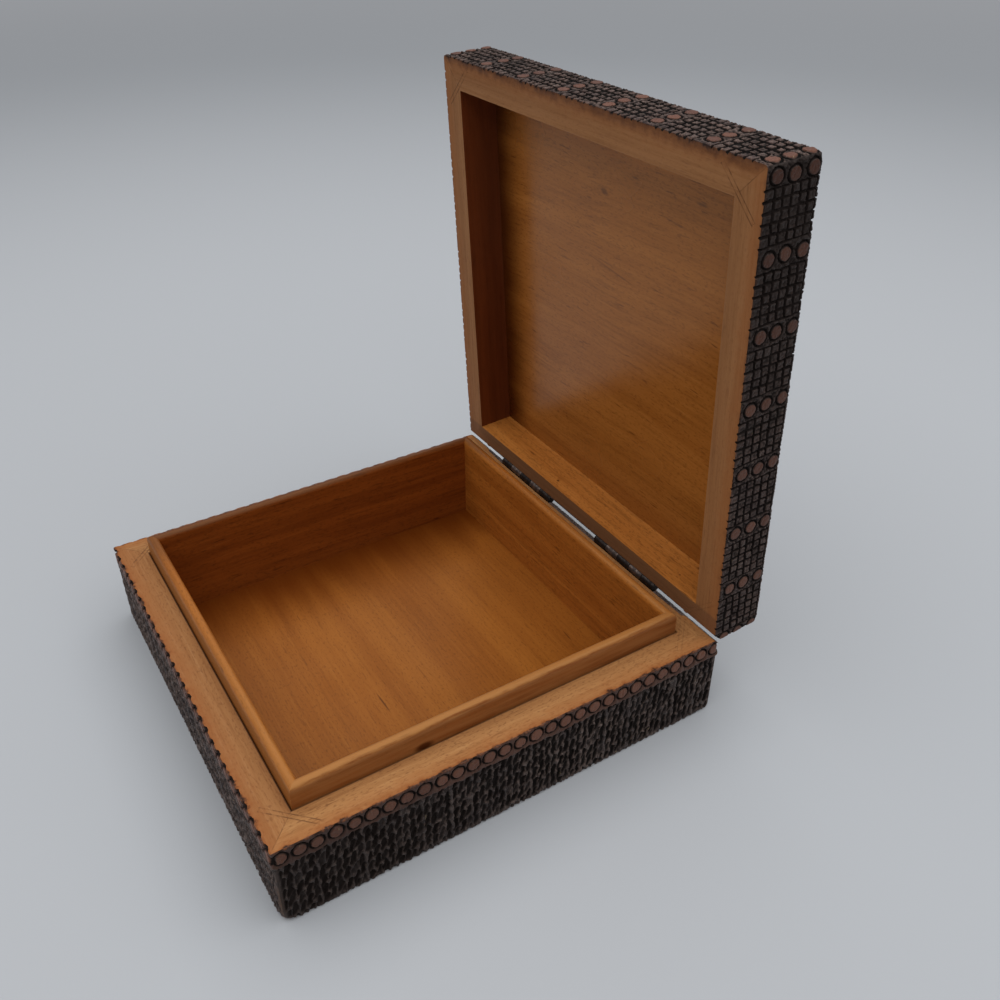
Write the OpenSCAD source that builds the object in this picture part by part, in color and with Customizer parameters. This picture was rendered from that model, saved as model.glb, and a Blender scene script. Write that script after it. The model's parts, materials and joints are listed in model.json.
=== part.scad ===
// Carved wooden trinket box: a square base with a raised liner and a hinged lid.
// The origin is the middle of the underside, +Z is up and +Y is the hinge side.
// The lid is drawn standing open; it closes by turning about the hinge pins.

/* [Box] */
// Outside width, along X
box_w = 120; // [90:1:200]
// Outside depth, along Y
box_d = 120; // [90:1:200]
// Height of the base, from its underside to its rim
base_h = 24; // [18:0.5:40]
// Height of the lid, from its rim to its top
lid_h = 15.5; // [13:0.5:30]
// Thickness of the carved walls
wall_t = 8; // [7:0.25:10]
// Radius of the upright outside corners
corner_r = 1.25; // [1:0.25:3]
// Radius of the outside edge under the base
base_edge_r = 0.8; // [0.4:0.1:2]
// Radius of the outside edge over the lid
lid_edge_r = 2.5; // [1:0.25:3.5]
// Gap between the two rims when the lid is shut
rim_gap = 0.3; // [0.1:0.05:0.5]
// How far the lid opens, in degrees
open_angle = 87; // [60:1:89]

/* [Carved field] */
// Distance of the carved field's upper edge from the base's rim
field_drop = 5.3; // [4.5:0.1:8]
// Depth of the carved field between its ribs
field_sink = 0.35; // [0.2:0.05:0.6]
// Distance of the carved field's ends from the rounding of the corners
field_end = 0.8; // [0.4:0.1:3]
// Distance between the middles of neighbouring ribs
rib_pitch = 7.15; // [5:0.05:12]
// Width of a rib
rib_w = 0.8; // [0.5:0.1:2]
// How far the rib nearest the middle of a wall sits off that middle
rib_shift = 3; // [-3:0.25:3]

/* [Panels] */
// Thickness of the bottom panel
bottom_t = 3; // [2.5:0.1:6]
// Thickness of the lid's top panel
top_t = 4.7; // [3:0.1:6]
// Width of the rebate in the walls that takes a panel's edge
rebate = 3; // [2:0.25:4]
// Gap around a panel's edge in its rebate
panel_gap = 0.15; // [0.05:0.05:0.4]

/* [Liner] */
// Thickness of the liner strips
liner_t = 2.75; // [2.5:0.25:6]
// Height of the liner above the base's rim
liner_proud = 6; // [3:0.2:8]
// Gap between the liner and the walls of base and lid
liner_gap = 0.3; // [0.3:0.05:0.8]
// Radius along the top edges of the liner
liner_r = 0.9; // [0.4:0.1:1.2]

/* [Corner splines] */
// Length of a spline across its mitre
spline_l = 12.5; // [9:0.25:13]
// Thickness of a spline
spline_t = 0.9; // [0.6:0.1:1.5]
// Distance of a spline from the inside corner, along the mitre
spline_set = 1.2; // [1.2:0.1:2]
// Gap on each face of a spline in its slot
slot_play = 0.08; // [0.04:0.02:0.2]
// Gap at each end of a spline in its slot
slot_end = 0.5; // [0.2:0.1:0.8]

/* [Hinges] */
// Length of a hinge, along its pin
hinge_l = 26; // [20:0.5:34]
// Distance between the middles of the two hinges
hinge_spacing = 49; // [42:0.5:58]
// How far the pair of hinges sits off the middle of the back wall
hinge_shift = -1.5; // [-3:0.25:3]
// Distance of the pin from the back face
hinge_inset = 1.8; // [1.6:0.1:2.4]
// Height of the pin above the base's rim
hinge_rise = 0.8; // [0.4:0.1:1.2]
// Number of knuckles on a hinge, shared by its two leaves
knuckle_n = 5; // [3:2:7]
// Gap between neighbouring knuckles
knuckle_gap = 0.2; // [0.1:0.05:0.4]
// Diameter of the knuckles
barrel_d = 2.4; // [2.2:0.1:3]
// Diameter of the pin
pin_d = 1; // [0.7:0.1:1.2]
// Radial play of the pin in the knuckles
pin_play = 0.05; // [0.02:0.01:0.1]
// Thickness of a leaf
leaf_t = 0.6; // [0.4:0.05:0.7]
// Depth of a leaf, from the pin's axis to its far edge
leaf_w = 8.5; // [7.5:0.25:10]
// Gap on each face of a leaf in its saw kerf
kerf_play = 0.1; // [0.05:0.05:0.2]
// Room between the knuckles and the wood around them
barrel_room = 0.3; // [0.2:0.05:0.5]
// Chamfer on the base's back rim edge, along each face
base_chamfer = 2; // [1.6:0.1:2.4]
// Chamfer on the lid's back rim edge, along each face
lid_chamfer = 2.8; // [2.6:0.1:3.2]

/* [Brads] */
// Diameter of a brad
brad_d = 1; // [0.7:0.1:1.2]
// Distance of a brad from its rim
brad_drop = 3.8; // [3:0.1:5]
// Distance of a brad from the end of its leaf
brad_inset = 2; // [1.5:0.1:4]
// How far a brad's head is set below the back face
brad_sink = 0.8; // [0.5:0.1:1.5]
// How far a brad's point stops short of the wall's inside face
brad_short = 0.5; // [0.1:0.1:1]
// Radial play of a brad in its hole
brad_play = 0.04; // [0.02:0.01:0.1]

/* [Hidden] */
$fn = 48;
// Overshoot of a cutting shape past the face that it cuts
over = 1;

// Plan of the box: half sizes outside and inside the walls
half_w = box_w / 2;
half_d = box_d / 2;
inner_w = half_w - wall_t;
inner_d = half_d - wall_t;

// Pin axis, as distances from the middle of the box and from the underside
pin_y = half_d - hinge_inset;
pin_z = base_h + hinge_rise;
hinge_left_x = hinge_shift - hinge_spacing / 2;
hinge_right_x = hinge_shift + hinge_spacing / 2;

// Hinge details measured from the pin axis: the leaf's middle plane lies inside the barrel's front side
barrel_r = barrel_d / 2;
bore_r = pin_d / 2 + pin_play;
leaf_edge = 0.15;
leaf_set = barrel_r - leaf_edge - leaf_t / 2;
recess_r = barrel_r + barrel_room;
knuckle_pitch = (hinge_l + knuckle_gap) / knuckle_n;
knuckle_l = knuckle_pitch - knuckle_gap;
// Height of the lid's rim above the pin axis when shut (below it when negative)
lid_rim_rise = rim_gap - hinge_rise;

// Liner: distance of its outer face from the middle, and its height from the bottom panel
liner_w = inner_w - liner_gap;
liner_d = inner_d - liner_gap;
liner_h = base_h + liner_proud - bottom_t;

carved_colour = "#2e2622";
rim_colour = "#b98a58";
liner_colour = "#a8713c";
panel_colour = "#b27a42";
hinge_colour = "#4a4644";
brad_colour = "#5a5550";

// The four sides, in the order of their quarter turns from the front
SIDES = ["front", "right", "back", "left"];
function quarter(side) = search([side], SIDES)[0];
function along_x(side) = side == "front" || side == "back";

// Half length and half distance of a side: the wall runs along X before it is turned
function side_run(side) = along_x(side) ? half_w : half_d;
function side_away(side) = along_x(side) ? half_d : half_w;

// Square with its four corners rounded
module rounded_plan(w, d, r) {
    square([w - 2 * r, d], center = true);
    square([w, d - 2 * r], center = true);
    for (sx = [-1, 1], sy = [-1, 1])
        translate([sx * (w / 2 - r), sy * (d / 2 - r)]) circle(r);
}

// Plan of one mitred strip at the front, with its outer face away from the middle
module mitred_plan(run, away, t) {
    polygon([[-run, -away], [run, -away], [run - t, -away + t], [-run + t, -away + t]]);
}

// Cross-section of a frame wall: X from the outer face inwards, Y from the rim to the outer face of the panel
module wall_section(h, panel_t, edge_r) {
    difference() {
        square([wall_t, h]);
        translate([wall_t - rebate, h - panel_t]) square([rebate + over, panel_t + over]);
        difference() {
            translate([-over, h - edge_r]) square(edge_r + over);
            translate([edge_r, h - edge_r]) circle(edge_r);
        }
    }
}

// One wall of a frame whose rim lies on z = 0 and whose outer edge is at z = h
module frame_wall(side, h, panel_t, edge_r, chamfer) {
    run = side_run(side);
    away = side_away(side);
    difference() {
        intersection() {
            rotate([0, 0, quarter(side) * 90]) translate([-run, -away, 0])
                rotate([90, 0, 90]) linear_extrude(2 * run) wall_section(h, panel_t, edge_r);
            linear_extrude(h) intersection() {
                rounded_plan(box_w, box_d, corner_r);
                rotate(quarter(side) * 90) mitred_plan(run, away, wall_t);
            }
        }
        if (side != "front") back_chamfer(chamfer);
        for (sx = [-1, 1], sy = [-1, 1])
            if (beside_corner(side, sx, sy))
                spline_slot(sx, sy, h - panel_t);
    }
}

// Sunk field of a base wall whose rim lies on z = 0, with its upright ribs left standing
module carved_field(side) {
    away = side_away(side);
    reach = side_run(side) - corner_r - field_end;
    ribs = ceil((reach + abs(rib_shift)) / rib_pitch);
    rotate([0, 0, quarter(side) * 90]) difference() {
        translate([-reach, -away - over, field_drop]) cube([2 * reach, over + field_sink, base_h]);
        for (i = [-ribs : ribs])
            translate([rib_shift + i * rib_pitch - rib_w / 2, -away - 2 * over, field_drop - over])
                cube([rib_w, field_sink + 3 * over, base_h + 2 * over]);
    }
}

// True where a side ends at the corner with these signs
function beside_corner(side, sx, sy) =
    side == "front" ? sy < 0 : side == "back" ? sy > 0 : side == "right" ? sx > 0 : sx < 0;

// Wedge that takes the sharp edge off the back of a rim lying on z = 0
module back_chamfer(chamfer) {
    translate([-half_w - over, half_d, 0]) rotate([90, 0, 90])
        linear_extrude(box_w + 2 * over)
            polygon([[-chamfer - over, -over], [over, -over], [over, chamfer + over]]);
}

// Puts a shape drawn along X across the mitre of one corner
module at_corner(sx, sy) {
    reach = spline_set / sqrt(2);
    translate([sx * (inner_w + reach), sy * (inner_d + reach), 0])
        rotate([0, 0, sx * sy < 0 ? 45 : -45]) children();
}

module spline_slot(sx, sy, h) {
    at_corner(sx, sy)
        translate([-spline_l / 2 - slot_end, -spline_t / 2 - slot_play, -over])
            cube([spline_l + 2 * slot_end, spline_t + 2 * slot_play, h + over]);
}

// Spline of a frame whose rim lies on z = 0, trimmed where the back chamfer cuts its corner
module spline(sx, sy, h, chamfer) {
    color(rim_colour) difference() {
        at_corner(sx, sy)
            translate([-spline_l / 2, -spline_t / 2, 0]) cube([spline_l, spline_t, h]);
        if (sy > 0) back_chamfer(chamfer);
    }
}

// Panel that fills a frame's rebate, from z = 0 up
module frame_panel(t) {
    edge = rebate - panel_gap;
    translate([-inner_w - edge, -inner_d - edge, 0])
        cube([2 * (inner_w + edge), 2 * (inner_d + edge), t]);
}

// The base's frame is a lid's frame turned over, so that its rim is at the top
module in_base() {
    translate([0, 0, base_h]) mirror([0, 0, 1]) children();
}

// Turns the lid, drawn shut with its rim at z = 0, about the pin to where it stands open
module in_lid() {
    translate([0, pin_y, pin_z]) rotate([-open_angle, 0, 0])
        translate([0, -pin_y, lid_rim_rise]) children();
}

// Puts a shape drawn about the pin axis at one hinge of the base
module at_hinge(x) {
    translate([x, pin_y, pin_z]) children();
}

// The same for the lid's half of a hinge
module at_open_hinge(x) {
    at_hinge(x) rotate([-open_angle, 0, 0]) children();
}

// Cylinder along X, about the pin axis, from one end of the length l
module along_pin(r, l) {
    rotate([0, 90, 0]) cylinder(r = r, h = l);
}

// Saw kerf and barrel recess for a leaf that goes down from the pin axis
module hinge_cut() {
    translate([-hinge_l / 2 - kerf_play, -leaf_set - leaf_t / 2 - kerf_play, -leaf_w - kerf_play])
        cube([hinge_l + 2 * kerf_play, leaf_t + 2 * kerf_play, leaf_w + kerf_play]);
    translate([-hinge_l / 2 - barrel_room, 0, 0]) along_pin(recess_r, hinge_l + 2 * barrel_room);
}

// Leaf that goes down from the pin axis, with every second knuckle from the number first on
module hinge_leaf(first, brad_level) {
    color(hinge_colour) difference() {
        union() {
            translate([-hinge_l / 2, -leaf_set - leaf_t / 2, -leaf_w])
                cube([hinge_l, leaf_t, leaf_w - recess_r]);
            for (i = [first : 2 : knuckle_n - 1])
                translate([-hinge_l / 2 + i * knuckle_pitch, 0, 0]) {
                    along_pin(barrel_r, knuckle_l);
                    translate([0, -leaf_set - leaf_t / 2, -recess_r - leaf_t])
                        cube([knuckle_l, leaf_t, recess_r + leaf_t]);
                }
        }
        translate([-hinge_l / 2 - over, 0, 0]) along_pin(bore_r, hinge_l + 2 * over);
        for (sx = [-1, 1])
            translate([sx * (hinge_l / 2 - brad_inset), 0, brad_level])
                rotate([90, 0, 0]) cylinder(r = brad_d / 2 + brad_play, h = leaf_set + leaf_t);
    }
}

module hinge_pin(x) {
    color(hinge_colour) at_hinge(x) translate([-hinge_l / 2, 0, 0]) along_pin(pin_d / 2, hinge_l);
}

// Both brads of one leaf, as cylinders from the back face inwards at height z
module brad_pair(x, z, r, start, length) {
    for (sx = [-1, 1])
        translate([x + sx * (hinge_l / 2 - brad_inset), half_d - start, z])
            rotate([90, 0, 0]) cylinder(r = r, h = length);
}

// Brad holes in a back wall whose rim lies on z = 0: they end half-way between the points and the inside face
module brad_holes() {
    for (x = [hinge_left_x, hinge_right_x])
        brad_pair(x, brad_drop, brad_d / 2 + brad_play, -over, over + wall_t - brad_short / 2);
}

module brads() {
    color(brad_colour) for (x = [hinge_left_x, hinge_right_x])
        brad_pair(x, brad_drop, brad_d / 2, brad_sink, wall_t - brad_sink - brad_short);
}

module base_wall(side) {
    color(carved_colour) difference() {
        in_base() frame_wall(side, base_h, bottom_t, base_edge_r, base_chamfer);
        in_base() carved_field(side);
        if (side == "back") {
            in_base() brad_holes();
            for (x = [hinge_left_x, hinge_right_x]) at_hinge(x) hinge_cut();
        }
    }
}

module lid_wall(side) {
    color(carved_colour) difference() {
        in_lid() frame_wall(side, lid_h, top_t, lid_edge_r, lid_chamfer);
        if (side == "back") {
            in_lid() brad_holes();
            for (x = [hinge_left_x, hinge_right_x]) at_open_hinge(x) mirror([0, 0, 1]) hinge_cut();
        }
    }
}

module base_spline(sx, sy) {
    in_base() spline(sx, sy, base_h - bottom_t, base_chamfer);
}

module lid_spline(sx, sy) {
    in_lid() spline(sx, sy, lid_h - top_t, lid_chamfer);
}

module base_bottom() {
    color(panel_colour) frame_panel(bottom_t);
}

module lid_panel() {
    color(panel_colour) in_lid() translate([0, 0, lid_h - top_t]) frame_panel(top_t);
}

// Cross-section of a liner strip: X from its outer face inwards, Y up from the bottom panel
module liner_section() {
    square([liner_t, liner_h - liner_r]);
    translate([liner_r, 0]) square([liner_t - 2 * liner_r, liner_h]);
    for (x = [liner_r, liner_t - liner_r]) translate([x, liner_h - liner_r]) circle(liner_r);
}

module liner(side) {
    run = along_x(side) ? liner_w : liner_d;
    away = along_x(side) ? liner_d : liner_w;
    color(liner_colour) translate([0, 0, bottom_t]) rotate([0, 0, quarter(side) * 90]) intersection() {
        translate([-run, -away, 0]) rotate([90, 0, 90]) linear_extrude(2 * run) liner_section();
        linear_extrude(liner_h) mitred_plan(run, away, liner_t);
    }
}

// A base leaf's brads are this far below the pin axis
base_brad_level = -hinge_rise - brad_drop;
// A lid leaf is drawn turned over, so its brads are below the pin axis too
lid_brad_level = -lid_rim_rise - brad_drop;

module base_leaf(x) {
    at_hinge(x) hinge_leaf(0, base_brad_level);
}

module lid_leaf(x) {
    at_open_hinge(x) mirror([0, 0, 1]) hinge_leaf(1, lid_brad_level);
}

base_wall("front");  // base_front_wall
base_wall("back");  // base_back_wall
base_wall("left");  // base_left_wall
base_wall("right");  // base_right_wall
base_spline(-1, -1);  // base_spline_front_left
base_spline(1, -1);  // base_spline_front_right
base_spline(-1, 1);  // base_spline_back_left
base_spline(1, 1);  // base_spline_back_right
base_bottom();
liner("front");  // liner_front
liner("back");  // liner_back
liner("left");  // liner_left
liner("right");  // liner_right
lid_wall("front");  // lid_front_wall
lid_wall("back");  // lid_back_wall
lid_wall("left");  // lid_left_wall
lid_wall("right");  // lid_right_wall
lid_spline(-1, -1);  // lid_spline_front_left
lid_spline(1, -1);  // lid_spline_front_right
lid_spline(-1, 1);  // lid_spline_back_left
lid_spline(1, 1);  // lid_spline_back_right
lid_panel();
base_leaf(hinge_left_x);  // hinge_left_base_leaf
lid_leaf(hinge_left_x);  // hinge_left_lid_leaf
hinge_pin(hinge_left_x);  // hinge_left_pin
base_leaf(hinge_right_x);  // hinge_right_base_leaf
lid_leaf(hinge_right_x);  // hinge_right_lid_leaf
hinge_pin(hinge_right_x);  // hinge_right_pin
in_base() brads();  // base_brads
in_lid() brads();  // lid_brads
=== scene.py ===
import json
import math

import bmesh
import bpy
import numpy as np
from mathutils import Matrix, Vector


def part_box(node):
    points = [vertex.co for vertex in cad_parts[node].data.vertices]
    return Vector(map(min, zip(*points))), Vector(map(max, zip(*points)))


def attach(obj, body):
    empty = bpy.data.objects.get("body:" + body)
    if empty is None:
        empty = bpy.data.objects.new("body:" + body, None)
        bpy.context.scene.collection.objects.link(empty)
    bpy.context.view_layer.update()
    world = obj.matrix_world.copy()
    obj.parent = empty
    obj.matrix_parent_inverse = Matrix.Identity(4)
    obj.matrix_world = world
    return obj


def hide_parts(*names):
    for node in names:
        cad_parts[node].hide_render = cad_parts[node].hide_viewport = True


# Carved trinket box: dark carved walls, raw rims, amber inside
# The box's sizes are in mm here; its objects, the shaders' bends and bumps and the stage are in metres
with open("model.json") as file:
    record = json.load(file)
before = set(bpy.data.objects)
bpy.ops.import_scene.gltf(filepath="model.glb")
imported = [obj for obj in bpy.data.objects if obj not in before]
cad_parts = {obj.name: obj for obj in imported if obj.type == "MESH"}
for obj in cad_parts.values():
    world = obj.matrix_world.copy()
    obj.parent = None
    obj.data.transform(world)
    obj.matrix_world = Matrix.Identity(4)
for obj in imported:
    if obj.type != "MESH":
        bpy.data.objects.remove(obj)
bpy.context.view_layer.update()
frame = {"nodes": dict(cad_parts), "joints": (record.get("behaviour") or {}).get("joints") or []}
cadNodes = frame["nodes"]
mm = 0.001
weld = 2e-6  # metres
sharpAngle = math.radians(42)


def boxOf(node):
    low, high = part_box(node)
    return low / mm, high / mm


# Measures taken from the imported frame
frontLow, frontHigh = boxOf("base_front_wall")
half = -frontLow.y
baseH = frontHigh.z
wallT = frontHigh.y - frontLow.y
panelHalf = boxOf("base_bottom")[1].x
hinge = frame["joints"][0]
pin = Vector(hinge["pos_m"])
pinDepth = half - pin.y / mm
openAngle = math.radians(hinge["range_deg"][1])
toShut = Matrix.Translation(pin) @ Matrix.Rotation(openAngle, 4, "X") @ Matrix.Translation(-pin)
shutLevels = [(toShut @ v.co).z / mm for v in cadNodes["lid_left_wall"].data.vertices]
lidRim = min(shutLevels)
lidH = max(shutLevels) - lidRim
quarters = {"front": 0, "right": 1, "back": 2, "left": 3}
hingePins = ("hinge_left_pin", "hinge_right_pin")
print("frame: half", round(half, 2), "base", round(baseH, 2), "lid", round(lidH, 2))


# Brings a piece from its workplace in front to its own side
def sideTurn(side):
    return Matrix.Rotation(quarters[side] * math.pi / 2, 4, "Z") @ Matrix.Scale(mm, 4)


# A wall is worked on lying in front: x along it, y inwards from its face at -half, z down from its rim
def wallHome(body, side):
    if body == "base":
        return Matrix.Translation((0, 0, baseH * mm)) @ Matrix.Diagonal((1, 1, -1, 1)) @ sideTurn(side)
    return toShut.inverted() @ Matrix.Translation((0, 0, lidRim * mm)) @ sideTurn(side)


# How far the hinge pin's axis lies beyond a body's rim, measured into the wall
def pinLevel(body):
    return baseH - pin.z / mm if body == "base" else pin.z / mm - lidRim


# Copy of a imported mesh, welded and moved to its workplace
def cadCopy(node, move):
    bm = bmesh.new()
    bm.from_mesh(cadNodes[node].data)
    bmesh.ops.remove_doubles(bm, verts=bm.verts, dist=weld)
    bmesh.ops.transform(bm, matrix=move, verts=bm.verts)
    return bm


def addObject(name, data):
    made = bpy.data.objects.new(name, data)
    bpy.context.scene.collection.objects.link(made)
    return made


# An extrusion lists its faces in no fixed order, so they are put in the order of their places
placeWeights = Vector((1, 1e3, 1e-3))


def sortFaces(bm):
    bm.faces.sort(key=lambda face: face.calc_center_median().dot(placeWeights))


def finishMesh(name, bm, home):
    bmesh.ops.transform(bm, matrix=home, verts=bm.verts)
    bmesh.ops.recalc_face_normals(bm, faces=bm.faces)
    mesh = bpy.data.meshes.new(name)
    bm.to_mesh(mesh)
    bm.free()
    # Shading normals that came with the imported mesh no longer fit
    if "custom_normal" in mesh.attributes:
        mesh.attributes.remove(mesh.attributes["custom_normal"])
    mesh.set_sharp_from_angle(angle=sharpAngle)
    return addObject(name, mesh)


def smooth(start, end, x):
    k = np.clip((x - start) / (end - start), 0, 1)
    return k * k * (3 - 2 * k)


# Soft random unevenness between -1 and 1, from a lattice of random heights
latticeSize = 89


def uneven(s, t, cell, rng):
    size = latticeSize
    knots = rng.uniform(-1, 1, (size, size))
    column = np.floor(s / cell).astype(int)
    row = np.floor(t / cell).astype(int)
    across = smooth(0, 1, s / cell - column)
    down = smooth(0, 1, t / cell - row)
    rows = []
    for step in (0, 1):
        left = knots[column % size, (row + step) % size]
        right = knots[(column + 1) % size, (row + step) % size]
        rows.append(left + (right - left) * across)
    return rows[0] + (rows[1] - rows[0]) * down


# Punched discs: a low domed top, a steep ring-shaped groove and a shallow apron round it
ringCut = {
    "disc": 1.42, "lip": 0.04, "wall": 0.2, "bed": 0.4, "outer": 0.7, "depth": 0.72, "dome": 0.06,
    "apron": 1.35, "apronStart": 0.3, "apronLap": 0.2, "apronDepth": 0.2, "topSoft": 0.1,
    "shiftSpread": 0.1, "sizeSpread": 0.06, "rough": 0.08, "roughCell": 0.8,
}


def discCarve(ds, dt, disc, rough):
    look = ringCut
    r = np.hypot(ds, dt) + rough
    groove = smooth(disc - look["lip"], disc + look["wall"], r)
    groove = groove * smooth(disc + look["outer"], disc + look["bed"], r)
    apron = smooth(disc, disc + look["apronStart"], r)
    apron = apron * smooth(disc + look["apron"], disc + look["outer"] - look["apronLap"], r)
    cut = np.maximum(look["depth"] * groove, look["apronDepth"] * apron)
    dome = look["dome"] * np.clip(r / disc, 0, 1) ** 2
    flat = smooth(disc + look["topSoft"], disc - look["topSoft"], r)
    return np.maximum(cut, dome * (r < disc)), flat


# One straight row of discs, its end ones left exact so that neighbouring walls meet
def discRow(s, t, count, pitch, level, rng):
    look = ringCut
    last = (count - 1) // 2
    which = np.clip(np.round(s / pitch), -last, last).astype(int) + last
    shift = rng.normal(0, look["shiftSpread"], (2, count))
    shift[:, [0, -1]] = 0
    size = look["disc"] + rng.normal(0, look["sizeSpread"], count)
    size[[0, -1]] = look["disc"]
    tone = rng.random(count)
    rough = look["rough"] * uneven(s, t, look["roughCell"], rng) * ((which > 0) & (which < count - 1))
    ds = s - (which - last) * pitch - shift[0][which]
    dt = t - level - shift[1][which]
    depth, flat = discCarve(ds, dt, size[which], rough)
    return depth, flat, tone[which]


# Ripple field: columns of slanted gouge pits, wavy ridges between them and straight ribs here and there
ripple = {
    "ribPitch": 7.15, "ribPlace": 3.0, "columns": 4, "rowPitch": 3.5, "stagger": (0.5, 0.17), "pattern": 97,
    "slant": 0.3, "squeeze": 0.34, "depth": 0.8, "sway": (0.14, 0.34), "depthSpread": 0.26,
    "depthRange": (0.35, 1.3), "ridge": (0.0, 0.62), "step": (0.0, 0.7), "stepShare": 0.5,
    "ribStand": (0.1, 1), "ribWide": 0.36, "ribSoft": (0.2, 0.25), "cornerDepth": 0.3,
}


# Distance to the pits of the nearest three columns, three in each, and how deep each one is
def nearPits(x, t, pitch, away):
    look = ripple
    size = look["pattern"]
    column = np.floor(x / pitch).astype(int)
    far = np.zeros((3, 3, len(x)))
    deep = np.zeros((3, 3, len(x)))
    for stepC in range(3):
        c = column + stepC - 1
        stagger = look["stagger"][0] * (c % 2) + look["stagger"][1] * (c % 3)
        row = np.floor(t / look["rowPitch"] - stagger).astype(int)
        for stepR in range(3):
            r = row + stepR - 1
            wild = away[:, c % size, r % size]
            ds = x - (c + 0.5) * pitch - look["sway"][0] * wild[0]
            dt = t - (r + 0.5 + stagger) * look["rowPitch"] - look["sway"][1] * wild[1]
            far[stepC, stepR] = np.hypot(ds + look["slant"] * dt, look["squeeze"] * dt)
            deep[stepC, stepR] = 1 + look["depthSpread"] * wild[2]
    return far, deep


def rippleCarve(s, t, rng):
    look = ripple
    size = look["pattern"]
    away = rng.normal(0, 1, (3, size, size))
    x = s - look["ribPlace"]
    far, deep = nearPits(x, t, look["ribPitch"] / look["columns"], away)
    inColumn = np.sort(far, 1)
    best = far.min(1).argmin(0)
    pick = np.arange(len(s))
    nearest = inColumn[best, 0, pick]
    beside = np.where(np.arange(3)[:, None] == best, np.inf, inColumn[:, 0]).min(0)
    step = smooth(*look["step"], inColumn[best, 1, pick] - nearest)
    pit = deep[best, far[best, :, pick].argmin(1), pick]
    ridge = smooth(*look["ridge"], beside - nearest)
    depth = look["depth"] * np.clip(pit, *look["depthRange"]) * ridge * (1 - look["stepShare"] * (1 - step))
    # Ribs stand up out of the pits, each by its own share
    which = np.round(x / look["ribPitch"])
    stands = rng.uniform(*look["ribStand"], size)[which.astype(int) % size]
    within, without = look["ribSoft"]
    fromRib = np.abs(x - look["ribPitch"] * which)
    beyond = smooth(look["ribWide"] - within, look["ribWide"] + without, fromRib)
    return depth * (1 - stands * (1 - beyond))


# Cross hatching: a knife line with sloping sides, given as shares of its width
knifeSlope = (0.55, 0.2)


def knifeLine(x, width, depth):
    outer, inner = knifeSlope
    return depth * smooth(outer * width, inner * width, np.abs(x))


# The base's walls: a ledge with a row of discs under the rim, and the ripple field below it
baseCarve = {
    "discs": 29, "discLevel": 2.6, "ledge": 5.1, "ledgeSwing": 0.4, "ledgeCell": 2.2, "ledgeSoft": (0.2, 0.6),
    "corner": (0.7, 2.0), "warp": 0.28, "warpCell": 1.0, "foot": 0.6, "footFrom": (2.2, 0.4),
    "rough": 0.1, "roughCell": 0.4, "roughLong": 0.3, "roughShare": 0.5,
    "notch": {"front": 0.66, "right": 0.26, "back": 0.4, "left": 0.5}, "notchHalf": 1.25,
    # The ledge's, rim's and step's shares are painted shade
    "notchDrop": (0.95, 0.45), "ledgePaintedShade": 0.5, "rimPaintedShade": 0.6, "rimPaintedShadeDrop": (1.5, 0.9),
    "stepPaintedShade": 0.8, "stepDrop": 0.35, "stepWide": (0.5, 0.1), "ledgeBare": 0.65, "tone": (0.45, 0.55),
}


# Each relief gives its depth, its share of bare disc or ledge, a tone for each small piece, and its share of
# painted shade
def baseRelief(s, t, rng, side):
    look = baseCarve
    corner = smooth(*look["corner"], half - np.abs(s))
    warpS = look["warp"] * uneven(s, t, look["warpCell"], rng) * corner
    warpT = look["warp"] * uneven(s, t, look["warpCell"], rng) * corner
    fibres = uneven(s, look["roughLong"] * t, look["roughCell"], rng)
    grit = look["rough"] * (fibres + look["roughShare"] * uneven(s, t, look["roughCell"], rng)) * corner
    pitch = 2 * half / look["discs"]
    cut, flat, tone = discRow(s, t, look["discs"], pitch, look["discLevel"], rng)
    ledge = look["ledge"] + look["ledgeSwing"] * uneven(s, t, look["ledgeCell"], rng) * corner
    field = rippleCarve(s + warpS, t + warpT, rng) * corner + ripple["cornerDepth"] * (1 - corner)
    field = field * (1 - look["foot"] * smooth(*(baseH - level for level in look["footFrom"]), t))
    over, under = look["ledgeSoft"]
    below = smooth(ledge - over, ledge + under, t)
    above = 1 - below
    # Each ring nicks the edge of the rim
    across = np.abs(s + warpS - pitch * np.round(s / pitch))
    notch = look["notch"][side] * np.sqrt(np.clip(1 - (across / look["notchHalf"]) ** 2, 0, 1))
    notch = notch * smooth(*look["notchDrop"], t) * corner
    depth = np.maximum(np.maximum(cut * above, field * below), notch) + grit
    # Painted shade: darker colour on the ledge between the discs, most near the rim, and in the step under
    # the ledge, where shade falls
    underRim = look["rimPaintedShade"] * smooth(*look["rimPaintedShadeDrop"], t) * (1 - flat)
    inStep = look["stepPaintedShade"] * smooth(*look["stepWide"], np.abs(t - ledge - look["stepDrop"]))
    paintedShade = np.maximum(np.maximum(look["ledgePaintedShade"] * (1 - flat) * above, underRim), inStep)
    least, more = look["tone"]
    return np.maximum(depth, 0), np.maximum(flat, look["ledgeBare"]) * above, least + more * tone, paintedShade


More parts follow.
